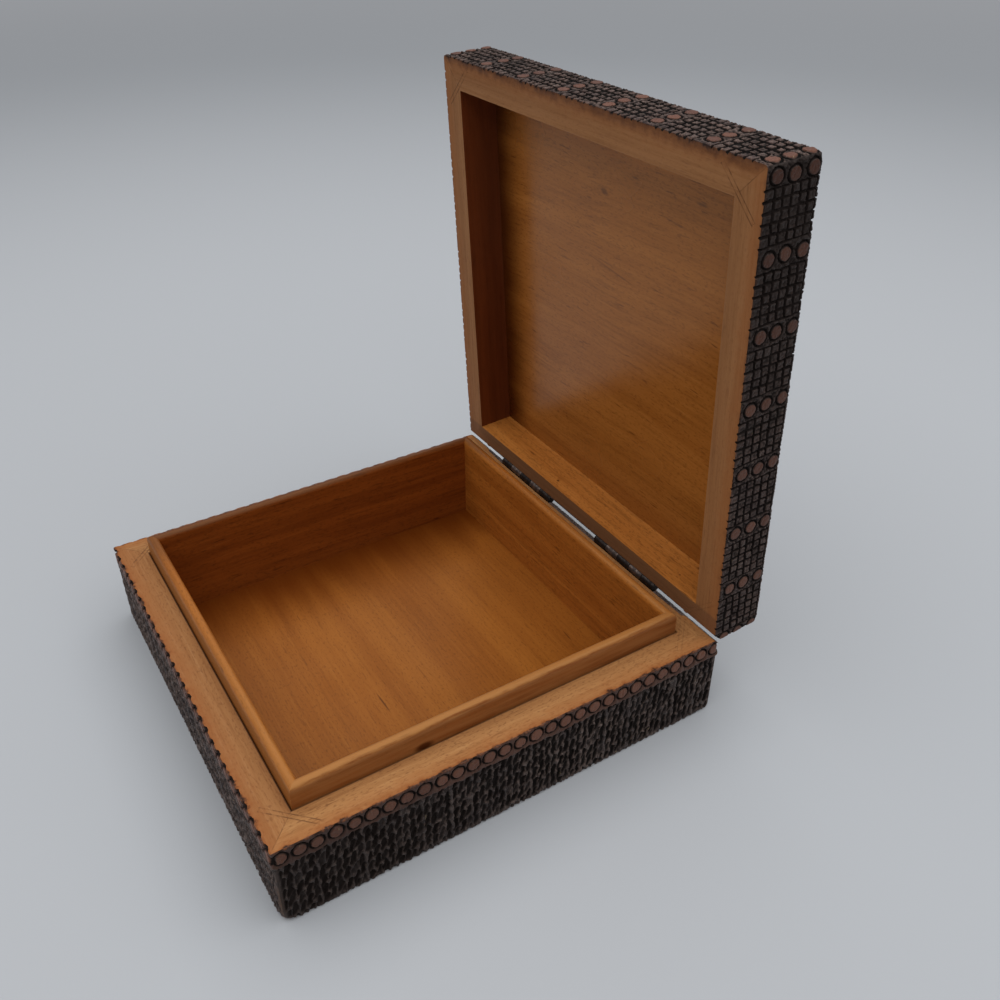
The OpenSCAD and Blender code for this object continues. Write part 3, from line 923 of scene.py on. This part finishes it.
# Dark stained carving, brown on disc tops and rubbed pale on the high spots; nearly black in the cuts from
# stain with painted shade over it, with painted glints on the ridges and painted shade on the walls that get
# less light
carvedLook = {
    "ridge": (112, 95, 88), "grain": (50, 40, 37), "cool": (52, 46, 48), "paintedGlint": (150, 130, 119),
    "pit": (8, 7, 7), "disc": (90, 52, 38), "discPale": (124, 78, 58), "rub": (140, 104, 78),
    "raw": (116, 66, 33), "speck": (150, 132, 96), "paintedShade": (24, 16, 14),
    "fine": ((1700, 1700, 700), 4, 0.6), "grit": 3600, "patch": 160, "specks": ((1500, 1500, 420), 1),
    "ridgeFine": (0.36, 0.64), "coolPatch": (0.45, 0.62, 0, 0.7), "paintedGlintGrit": (0.55, 0.72, 0, 0.75),
    "discGrit": (0.45, 0.72, 0, 0.4), "wornPatch": (0.54, 0.72), "wornFine": (0.5, 0.7), "wornShare": 0.4,
    "rubPatch": (0.45, 0.62, 0, 0.8), "speckRange": (0.73, 0.8, 0, 0.7), "pitCarve": (0.08, 0.44),
    "rawFine": (0.38, 0.62, 0, 0.85), "roughCarve": (0.05, 0.5, 0.4, 0.9), "shine": 0.24,
    "shineTint": (1.0, 0.88, 0.8, 1.0), "bump": (0.0001, 0.8),
}


def carvedStain():
    look = carvedLook
    mat, shader = newMaterial("carvedStain")
    place = boxPlace(mat, False)
    carve, bare, tone, rub, raw, paintedShade = (attribute(mat, name) for name in layerNames)
    fine = longNoise(mat, place, *look["fine"])
    grit = noise(mat, place, look["grit"])
    patch = noise(mat, place, look["patch"])
    ridge = coated(mat, colour(*look["grain"]), look, (
        ("ridge", spread(mat, fine, *look["ridgeFine"])),
        ("cool", spread(mat, patch, *look["coolPatch"])),
        # Painted glints: pale grit spots on the ridges
        ("paintedGlint", spread(mat, grit, *look["paintedGlintGrit"])),
    ))
    disc = coated(mat, colour(*look["disc"]), look, (
        ("discPale", tone), ("grain", spread(mat, grit, *look["discGrit"])),
    ))
    worn = times(mat, spread(mat, patch, *look["wornPatch"]), spread(mat, fine, *look["wornFine"]))
    rubbed = times(mat, rub, spread(mat, patch, *look["rubPatch"]))
    body = coated(mat, mixed(mat, bare, ridge, disc), look, (
        ("rub", most(mat, times(mat, worn, look["wornShare"]), times(mat, rubbed, fine))),
        ("speck", spread(mat, longNoise(mat, place, *look["specks"]), *look["speckRange"])),
        # Nearly black in the cuts: stain with painted shade
        ("pit", spread(mat, carve, *look["pitCarve"])),
        # Painted shade over the whole surface
        ("paintedShade", paintedShade),
        ("raw", times(mat, raw, spread(mat, fine, *look["rawFine"]))),
    ))
    wireUp(mat, shader, {
        "Base Color": body, "Roughness": spread(mat, carve, *look["roughCarve"]),
        "Specular IOR Level": look["shine"], "Specular Tint": look["shineTint"],
    })
    bumped(mat, shader, grit, *look["bump"])
    return mat


# A dark spot or crack in the wood, as an ellipse about a place given in mm
blemishFade = (1.0, 0.3)


def blemish(mat, place, spot):
    wires = {
        "Vector": place, "Location": Vector(spot["at"]) * mm, "Rotation": (0, 0, spot.get("turn", 0)),
        "Scale": Vector(spot["size"]) * mm,
    }
    local = addNode(mat, "ShaderNodeMapping", wires, vector_type="TEXTURE").outputs[0]
    far = addNode(mat, "ShaderNodeVectorMath", {0: local}, operation="LENGTH").outputs["Value"]
    return spread(mat, far, *blemishFade, 0, spot["share"])


# Grain of one wood: straight bands, streaks, fibres, short flecks and a sanded speckle
woodGrain = {
    "bend": (14, 2), "bandLong": 3, "streakLong": 9, "streakDetail": (3, 0.6),
    "fibre": ((45, 1200, 1200), 4, 0.65), "fleck": ((150, 1500, 1500), 2),
    "speckle": ((900, 2300, 2300), 3), "bandRange": (0.38, 0.62), "streakRange": (0.46, 0.66),
    "fibreRange": (0.48, 0.68), "paleRange": (0.48, 0.3), "speckleRange": (0.52, 0.7),
    "fleckRange": (0.64, 0.74),
}


def woodFigure(mat, place, grain, look):
    rule = woodGrain
    deep = colour(*look["deep"])
    dark = colour(*look["fleck"])
    wires = {0: noise(mat, place, *rule["bend"]), 1: (0, look["bend"], look["bend"]), 2: grain}
    bent = addNode(mat, "ShaderNodeVectorMath", wires, operation="MULTIPLY_ADD").outputs[0]
    band = longNoise(mat, bent, (rule["bandLong"], look["bands"], look["bands"]), 1)
    streaks = (rule["streakLong"], look["streaks"], look["streaks"])
    streak = longNoise(mat, bent, streaks, *rule["streakDetail"])
    fibre = longNoise(mat, bent, *rule["fibre"])
    fleck = longNoise(mat, bent, *rule["fleck"])
    speckle = longNoise(mat, grain, *rule["speckle"])
    marks = (
        ("band", band, deep), ("streak", streak, deep), ("fibre", fibre, dark),
        ("pale", fibre, colour(*look["pale"])), ("speckle", speckle, dark), ("fleck", fleck, dark),
    )
    body = colour(*look["light"])
    for name, value, tone in marks:
        share = spread(mat, value, *rule[f"{name}Range"], 0, look[f"{name}Share"])
        body = mixed(mat, share, body, tone)
    return body, fibre, speckle


# Raw wood of the rims and cut faces, scorched along the carved edge
rawWood = {
    "bend": 0.003, "bands": 150, "bandShare": 0.4, "streaks": 420, "streakShare": 0.3,
    "ragged": (330, 4, 0.65), "raggedWide": 5.0, "tint": (158, 94, 46), "tintEdge": (5.0, 0.8, 0, 0.5),
    "frontShade": (140, 84, 44), "frontShadeEdge": (0.1, -0.1, 0, 0.3), "lidFront": 2.0, "burnt": (44, 26, 18),
    "burntEdge": (0.6, -0.3, 0, 0.95), "lidBackShade": (104, 70, 50), "lidBackShadeEdge": (-0.6, 0.4),
    "lidBackShadeShare": 0.5, "gapShade": (66, 38, 20), "gapShadeEdge": (0.35, 0.05), "gapShadeShare": 0.85,
    "roughFibre": (0.3, 0.7, 0.62, 0.78), "shine": 0.25, "bump": (0.00006, 0.7),
}
rimLook = {
    "base": {
        **rawWood, "light": (175, 124, 74), "deep": (152, 101, 57), "pale": (194, 145, 94),
        "fleck": (112, 68, 36), "fibreShare": 0.3, "speckleShare": 0.55, "paleShare": 0.4,
        "fleckShare": 0.45, "scorch": (146, 82, 36), "scorchEdge": (1.8, -0.4, 0, 0.9),
    },
    "lid": {
        **rawWood, "light": (164, 113, 69), "deep": (143, 95, 55), "pale": (177, 126, 80),
        "fleck": (100, 61, 34), "fibreShare": 0.22, "speckleShare": 0.22, "paleShare": 0.25,
        "fleckShare": 0.35, "scorch": (86, 51, 31), "scorchEdge": (3.6, -0.4, 0, 0.9),
    },
}

# Thin dark lines where the mitre closes and where a spline is let in
# The first two numbers of mitre and edge are multiples of the line's width
seamLook = {
    "seam": (92, 54, 28), "wide": 0.13, "mitre": (1.8, 0.4, 0, 0.6), "edge": (2.4, 0.5, 0, 0.75),
    "slotRoom": 0.1, "slotReach": 0.4, "closed": (420, 2), "closedRange": (0.36, 0.62, 0.2, 1.0),
    "faintFrom": -0.3, "faintTo": 0.6, "faint": (1.0, 0.3),
}


# Half thickness of a spline in its slot, measured along x plus y
def splineWide(body):
    node = cadNodes[f"{body}_spline_front_right"]
    sums = [abs(v.co.x) + abs((toShut @ v.co).y if body == "lid" else v.co.y) for v in node.data.vertices]
    return (max(sums) - min(sums)) / 2 / mm + seamLook["slotRoom"]


def seamLines(mat, parts, body):
    look = seamLook
    across = absolute(mat, parts["X"])
    deep = absolute(mat, parts["Y"])
    fromMitre = absolute(mat, calc(mat, "SUBTRACT", across, deep))
    low, high = boxOf(f"{body}_spline_front_right")
    thick = splineWide(body) * mm
    along = calc(mat, "SUBTRACT", calc(mat, "ADD", across, deep), (low.x + high.x) * mm)
    fromMiddle = absolute(mat, along)
    fromFace = absolute(mat, calc(mat, "SUBTRACT", fromMiddle, thick))
    besideSpline = calc(mat, "GREATER_THAN", fromMiddle, thick)
    mitreFrom, mitreTo, edgeFrom, edgeTo = (k * look["wide"] for k in look["mitre"][:2] + look["edge"][:2])
    mitre = spreadMm(mat, fromMitre, mitreFrom, mitreTo, *look["mitre"][2:])
    mitre = times(mat, mitre, besideSpline)
    edges = spreadMm(mat, fromFace, edgeFrom, edgeTo, *look["edge"][2:])
    within = calc(mat, "LESS_THAN", fromMitre, (high.x - low.x + look["slotReach"]) * mm)
    lines = most(mat, mitre, times(mat, edges, within))
    plan = addNode(mat, "ShaderNodeCombineXYZ", {0: across, 1: deep}).outputs[0]
    closed = spread(mat, noise(mat, plan, *look["closed"]), *look["closedRange"])
    faint = spreadMm(mat, parts["Y"], look["faintFrom"] * half, look["faintTo"] * half, *look["faint"])
    return times(mat, times(mat, lines, faint), closed)


def rimWood(name, body):
    look = rimLook[body]
    onLid = body == "lid"
    mat, shader = newMaterial(name)
    place = boxPlace(mat, onLid)
    grain, parts = grainPlace(mat, place, True)
    figure, fibre, speckle = woodFigure(mat, place, grain, look)
    fromEdge = edgeDistance(mat, parts)
    edge = ragged(mat, fromEdge, noise(mat, place, *look["ragged"]), look["raggedWide"] * mm)
    coats = [("tint", spreadMm(mat, edge, *look["tintEdge"]))]
    # The base's front rim gets painted shade, a little darker than the other rims, and the lid's front edge
    # is the most scorched
    alongside = calc(mat, "ADD", parts["Y"], absolute(mat, parts["X"]))
    if onLid:
        reach = look["lidFront"]
        edge = calc(mat, "ADD", edge, spreadMm(mat, alongside, -reach, reach, 0, reach * mm))
    else:
        coats.append(("frontShade", spreadMm(mat, alongside, *look["frontShadeEdge"])))
    coats.append(("scorch", spreadMm(mat, edge, *look["scorchEdge"])))
    coats.append(("burnt", spreadMm(mat, edge, *look["burntEdge"])))
    figure = coated(mat, figure, look, coats)
    figure = coated(mat, figure, seamLook, [("seam", seamLines(mat, parts, body))])
    # Painted shade: the lid's back rim is painted darker where the liner and base shade it, and the base's
    # rim is painted dark in the gap where the liner begins
    if onLid:
        backFrom, backTo = (half - wallT + step for step in look["lidBackShadeEdge"])
        last = ("lidBackShade", spreadMm(mat, parts["Y"], backFrom, backTo, 0, look["lidBackShadeShare"]))
    else:
        # Painted shade in the gap between the rim and the liner
        gapFrom, gapTo = (wallT - step for step in look["gapShadeEdge"])
        last = ("gapShade", spreadMm(mat, fromEdge, gapFrom, gapTo, 0, look["gapShadeShare"]))
    figure = coated(mat, figure, look, [last])
    wireUp(mat, shader, {
        "Base Color": figure, "Roughness": spread(mat, fibre, *look["roughFibre"]),
        "Specular IOR Level": look["shine"],
    })
    bumped(mat, shader, speckle, *look["bump"])
    return mat


# Amber varnish over the woods of the inside, each piece with its own tone; the side walls of the lid and the
# liner get darker copies, painted shade
varnish = {
    "cloud": 38, "cloudRange": (0.45, 0.75, 0, 0.2), "feather": ((12, 110, 110), 2), "backWide": 30,
    "roughCloud": (0.3, 0.7), "roughSpread": 0.08, "shineTint": (1.0, 0.82, 0.52, 1.0),
    "bump": (0.00003, 0.5),
}
amberWood = {
    "bend": 0.003, "bands": 170, "bandShare": 0.5, "streaks": 420, "streakShare": 0.4, "fibreShare": 0.3,
    "speckleShare": 0.42, "paleShare": 0.34, "fleckShare": 0.7, "gloss": 0.34, "shine": 0.4, "blemishes": (),
}
floorLook = {
    **amberWood, "light": (166, 100, 36), "deep": (138, 75, 21), "pale": (180, 114, 48),
    "fleck": (94, 46, 12),
    "bands": 80, "bandShare": 0.6, "streaks": 300, "streakShare": 0.18, "fibreShare": 0.18,
    "speckleShare": 0.4, "paleShare": 0.22, "fleckShare": 0.35, "gloss": 0.38, "shine": 0.3,
    # Painted shade near the left wall and the back
    "shadeNearWalls": (0.86, 0.3), "shadeNearWallsColour": (92, 35, 1), "shadeNearWallsWide": 36, "feather": 0.03,
    "blemishes": (
        {"at": (15.5, -14.0, 0), "size": (5.4, 0.34, 99), "turn": 0.01, "share": 0.9},
        {"at": (19.8, 41.8, 0), "size": (3.2, 0.3, 99), "turn": -0.05, "share": 0.85},
    ),
}
linerLook = {
    **amberWood, "light": (182, 111, 44), "deep": (150, 82, 26), "pale": (194, 124, 56), "fleck": (86, 40, 9),
    "shine": 0.3, "worn": 0.55, "knots": (),
}
# Shaded copy of the liner's wood: its side strips are painted darker as painted shade
linerShadedSideLook = {
    **linerLook, "light": (136, 70, 24), "deep": (104, 47, 13), "pale": (148, 82, 32), "fleck": (70, 30, 7),
    "worn": 0.85, "knots": ({"at": (51.7, -20.4, 24.6), "size": (1.5, 3.2, 1.6), "share": 1.0},),
}
lidWallLook = {
    **amberWood, "light": (194, 124, 57), "deep": (164, 96, 38), "pale": (206, 138, 72),
    "fleck": (92, 46, 16),
    "fibreShare": 0.34, "speckleShare": 0.45, "paleShare": 0.4, "fleckShare": 0.75,
    "blemishes": (
        {"at": (-12.6, 52, 27.0), "size": (0.6, 2, 0.6), "share": 1.0},
        {"at": (41.2, 52, 28.3), "size": (0.4, 2, 0.4), "share": 0.8},
        {"at": (5.3, 52, 30.9), "size": (0.9, 2, 0.35), "share": 0.5},
    ),
}
# Shaded copy of the lid's inner wall wood: its side walls are painted darker as painted shade
lidShadedSideLook = {
    **amberWood, "light": (109, 52, 25), "deep": (80, 34, 15), "pale": (118, 61, 31), "fleck": (57, 23, 8),
    "fibreShare": 0.22, "speckleShare": 0.15, "paleShare": 0.25, "fleckShare": 0.4, "gloss": 0.3,
}
lidPanelLook = {
    **amberWood, "light": (178, 111, 47), "deep": (157, 92, 34), "pale": (192, 126, 60),
    "fleck": (100, 53, 19),
    "bend": 0.01, "bands": 80, "streaks": 300, "streakShare": 0.25, "fibreShare": 0.26, "speckleShare": 0.4,
    "paleShare": 0.26, "fleckShare": 0.65, "gloss": 0.2, "shine": 0.42,
    # Painted shade near the left wall and the back
    "shadeNearWalls": (0.92, 0.1), "shadeNearWallsColour": (66, 22, 1), "shadeNearWallsWide": 15, "feather": 0.007,
    "blemishes": (
        {"at": (-3.1, -35.9, 35.1), "size": (1.9, 1.1, 99), "turn": 0.2, "share": 0.75},
        {"at": (-9.2, -32.8, 35.1), "size": (1.6, 0.4, 99), "share": 0.6},
        {"at": (8.5, -42.2, 35.1), "size": (1.8, 0.4, 99), "share": 0.55},
        {"at": (31.7, -42.2, 35.1), "size": (2.6, 0.5, 99), "share": 0.6},
        {"at": (0, -16.8, 35.1), "size": (14.0, 0.3, 99), "turn": 0.12, "share": 0.5},
    ),
}


# Painted shade: darker towards the left wall and the back, where the walls shade the floor and the lid's
# panel
def paintedShadeNearWalls(mat, grain, parts, look):
    inner = half - wallT
    leftShare, backShare = look["shadeNearWalls"]
    fromLeft = ragged(mat, parts["X"], longNoise(mat, grain, *varnish["feather"]), look["feather"])
    left = spreadMm(mat, fromLeft, look["shadeNearWallsWide"] - inner, -inner, 0, leftShare)
    back = spreadMm(mat, parts["Y"], inner - varnish["backWide"], inner, 0, backShare)
    return most(mat, left, back)


def varnished(name, look, onLid, byWall):
    mat, shader = newMaterial(name)
    place = boxPlace(mat, onLid)
    grain, parts = grainPlace(mat, place, byWall)
    figure, fibre = woodFigure(mat, place, grain, look)[:2]
    cloud = noise(mat, place, varnish["cloud"])
    coats = [("deep", spread(mat, cloud, *varnish["cloudRange"]))]
    # Painted shade near the walls
    if "shadeNearWalls" in look:
        coats.append(("shadeNearWallsColour", paintedShadeNearWalls(mat, grain, parts, look)))
    coats += [("fleck", blemish(mat, place, spot)) for spot in look["blemishes"]]
    figure = coated(mat, figure, look, coats)
    gloss = look["gloss"]
    wireUp(mat, shader, {
        "Base Color": figure, "Specular IOR Level": look["shine"], "Specular Tint": varnish["shineTint"],
        "Roughness": spread(mat, cloud, *varnish["roughCloud"], gloss, gloss + varnish["roughSpread"]),
    })
    bumped(mat, shader, fibre, *varnish["bump"])
    return mat


# The liner's varnish is thin on its outer faces, worn through along its top, which also stands in for a
# painted highlight on the rounded top, and dull at its left end
linerWear = {
    "thin": (148, 96, 53), "worn": (178, 121, 66), "dull": (92, 56, 32), "patch": ((130, 900, 900), 4, 0.65),
    "blotch": ((60, 700, 700), 4, 0.65), "blotchRange": (0.34, 0.66, 1.0, 0.35),
    "ragged": 1.8, "wornAndHighlitTop": (0.9, 0.1),
    "wornAndHighlitRun": (-0.8, 1.0), "dullTop": (1.2, 0.2), "dullShare": 0.6, "dullRun": (-0.5, -0.8),
    "thinFace": (0.4, 0.1), "thinShare": 0.85,
}


def wornLiner(name, look):
    rule = linerWear
    mat = varnished(name, look, False, True)
    shader = mat.node_tree.nodes["Principled BSDF"]
    place = boxPlace(mat, False)
    grain, parts = grainPlace(mat, place, True)
    low, high = boxOf("liner_front")
    patch = longNoise(mat, grain, *rule["patch"])
    height = ragged(mat, parts["Z"], patch, rule["ragged"] * mm)
    wornFrom, wornTo, dullFrom, dullTo = (high.z - drop for drop in rule["wornAndHighlitTop"] + rule["dullTop"])
    # Worn pale along the top, also a painted highlight
    worn = spreadMm(mat, height, wornFrom, wornTo, 0, look["worn"])
    worn = times(mat, worn, spreadMm(mat, parts["X"], *(k * half for k in rule["wornAndHighlitRun"])))
    dull = spreadMm(mat, height, dullFrom, dullTo, 0, rule["dullShare"])
    dull = times(mat, dull, spreadMm(mat, parts["X"], *(k * half for k in rule["dullRun"])))
    thinFrom, thinTo = (half + low.y + depth for depth in rule["thinFace"])
    thin = spreadMm(mat, edgeDistance(mat, parts), thinFrom, thinTo, 0, rule["thinShare"])
    blotch = longNoise(mat, grain, *rule["blotch"])
    thin = times(mat, thin, spread(mat, blotch, *rule["blotchRange"]))
    body = shader.inputs["Base Color"].links[0].from_socket
    body = coated(mat, body, rule, (("thin", thin), ("worn", worn), ("dull", dull)))
    body = coated(mat, body, look, [("fleck", blemish(mat, place, spot)) for spot in look["knots"]])
    wireUp(mat, shader, {"Base Color": body})
    return mat


# Tarnished hinge metal, from its dark to its worn shade; the lid's leaves get a lighter copy, a painted
# highlight on their knuckles
metalLook = {
    "hingeMetal": ((46, 40, 38), (70, 62, 58)), "highlitHingeMetal": ((84, 74, 70), (128, 112, 104)),
    "bradMetal": ((40, 35, 33), (84, 78, 74)), "patch": (900, 4), "wornPatch": (0.4, 0.66),
    "roughPatch": (0.35, 0.7, 0.62, 0.4), "metallic": 0.85, "bump": (0.00005, 0.6),
}


def tarnished(name):
    look = metalLook
    dark, worn = look[name]
    mat, shader = newMaterial(name)
    patch = noise(mat, boxPlace(mat, False), *look["patch"])
    wireUp(mat, shader, {
        "Base Color": mixed(mat, spread(mat, patch, *look["wornPatch"]), colour(*dark), colour(*worn)),
        "Roughness": spread(mat, patch, *look["roughPatch"]), "Metallic": look["metallic"],
    })
    bumped(mat, shader, patch, *look["bump"])
    return mat


stainAndShade = carvedStain()
rims = {"base": rimWood("rimWood", "base"), "lid": rimWood("lidRimWood", "lid")}
hiddenWood = varnished("innerWall", linerLook, False, True)
lidWallWood = varnished("lidInnerWall", lidWallLook, True, True)
lidShadedSideWood = varnished("lidInnerSideShaded", lidShadedSideLook, True, True)
for (body, side), piece in walls.items():
    # The lid's side walls take the shaded copy
    lidWood = lidWallWood if side in ("front", "back") else lidShadedSideWood
    for mat in (stainAndShade, rims[body], hiddenWood if body == "base" else lidWood):
        piece.data.materials.append(mat)
for mat in (stainAndShade, rims["lid"], varnished("lidPanelInside", lidPanelLook, True, False)):
    lidTop.data.materials.append(mat)


def dress(node, mat):
    mesh = cadNodes[node].data
    mesh.materials.clear()
    mesh.materials.append(mat)


dress("base_bottom", varnished("bottomPanel", floorLook, False, False))
linerWood = wornLiner("linerWood", linerLook)
linerShadedSideWood = wornLiner("linerShadedSideWood", linerShadedSideLook)
for side in quarters:
    roundedLiner(side).data.materials.append(linerWood if side in ("front", "back") else linerShadedSideWood)
for body in ("base", "lid"):
    for corner in ("front_left", "front_right", "back_left", "back_right"):
        filledSpline(body, corner).data.materials.append(rims[body])
darkMetal = tarnished("hingeMetal")
highlitMetal = tarnished("highlitHingeMetal")
for side in ("left", "right"):
    dress(f"hinge_{side}_base_leaf", darkMetal)
    # Painted highlight: the lid's leaves take the lighter metal
    dress(f"hinge_{side}_lid_leaf", highlitMetal)
    dress(f"hinge_{side}_pin", darkMetal)
bradMetal = tarnished("bradMetal")
dress("base_brads", bradMetal)
dress("lid_brads", bradMetal)
print("materials on", len(cadNodes), "nodes")


# Pale floor, painted darker far away as painted shade where the light falls off, soft overhead light, camera
# at the photographed angle
stage = {
    "floorHalf": 6.0, "floorColour": (184, 187, 191), "farShadeColour": (152, 155, 159), "farShadeFrom": (0.25, 0.9),
    "floorRough": 0.6, "floorShine": 0.2, "worldColour": (0.18, 0.185, 0.193),
    "backdrop": (151, 153, 157), "backdropFrom": (0.7, 1.5),
    "lampSize": 3.6, "lampPlace": (0.2, 0.05, 1.5), "lampPower": 53.5,
}
view = {
    "place": (0.1891, -0.0866, 0.1949), "tilt": math.radians(55.52), "turn": math.radians(57.96),
    "lens": 35.96, "sensor": 36, "nearest": 0.01,
}


# Rays that show the backdrop itself, straight or in a reflection
def seenRay(mat):
    rays = addNode(mat, "ShaderNodeLightPath", {}).outputs
    mirrored = most(mat, rays["Is Glossy Ray"], rays["Is Transmission Ray"])
    return most(mat, rays["Is Camera Ray"], mirrored)


def layFloor():
    bm = bmesh.new()
    bmesh.ops.create_grid(bm, x_segments=2, y_segments=2, size=stage["floorHalf"])
    mesh = bpy.data.meshes.new("studioFloor")
    bm.to_mesh(mesh)
    bm.free()
    floor = addObject("studioFloor", mesh)
    mat, shader = newMaterial("studioFloor")
    place = addNode(mat, "ShaderNodeTexCoord", {}).outputs["Object"]
    away = addNode(mat, "ShaderNodeVectorMath", {0: place}, operation="LENGTH").outputs["Value"]
    # Painted shade: darker far from the box, where the light falls off
    far = spread(mat, away, *stage["farShadeFrom"])
    wireUp(mat, shader, {
        "Base Color": mixed(mat, far, colour(*stage["floorColour"]), colour(*stage["farShadeColour"])),
        "Roughness": stage["floorRough"], "Specular IOR Level": stage["floorShine"],
    })
    # Far away the floor runs into an even backdrop
    share = times(mat, seenRay(mat), spread(mat, away, *stage["backdropFrom"]))
    glow = addNode(mat, "ShaderNodeEmission", {"Color": colour(*stage["backdrop"])}).outputs[0]
    blended = addNode(mat, "ShaderNodeMixShader", {0: share, 1: shader.outputs[0], 2: glow}).outputs[0]
    wireUp(mat, mat.node_tree.nodes["Material Output"], {"Surface": blended})
    mesh.materials.append(mat)


def lightStage():
    world = bpy.data.worlds.new("studio")
    bpy.context.scene.world = world
    world.use_nodes = True
    around = world.node_tree.nodes["Background"]
    around.inputs["Color"].default_value = (*stage["worldColour"], 1)
    backdrop = addNode(world, "ShaderNodeBackground", {"Color": colour(*stage["backdrop"])}).outputs[0]
    wires = {0: seenRay(world), 1: around.outputs[0], 2: backdrop}
    blended = addNode(world, "ShaderNodeMixShader", wires).outputs[0]
    wireUp(world, world.node_tree.nodes["World Output"], {"Surface": blended})
    lamp = bpy.data.lights.new("overhead", "AREA")
    lamp.shape = "SQUARE"
    lamp.size = stage["lampSize"]
    lamp.energy = stage["lampPower"]
    holder = addObject("overhead", lamp)
    holder.location = stage["lampPlace"]
    holder.rotation_euler = (-Vector(stage["lampPlace"])).to_track_quat("-Z", "Y").to_euler()


def placeCamera():
    camera = bpy.data.cameras.new("photoView")
    camera.lens = view["lens"]
    camera.sensor_width = view["sensor"]
    camera.clip_start = view["nearest"]
    holder = addObject("photoView", camera)
    holder.location = view["place"]
    holder.rotation_euler = (view["tilt"], 0, view["turn"])
    bpy.context.scene.camera = holder


layFloor()
lightStage()
placeCamera()
bpy.context.scene.view_settings.view_transform = "Standard"
print("stage set")
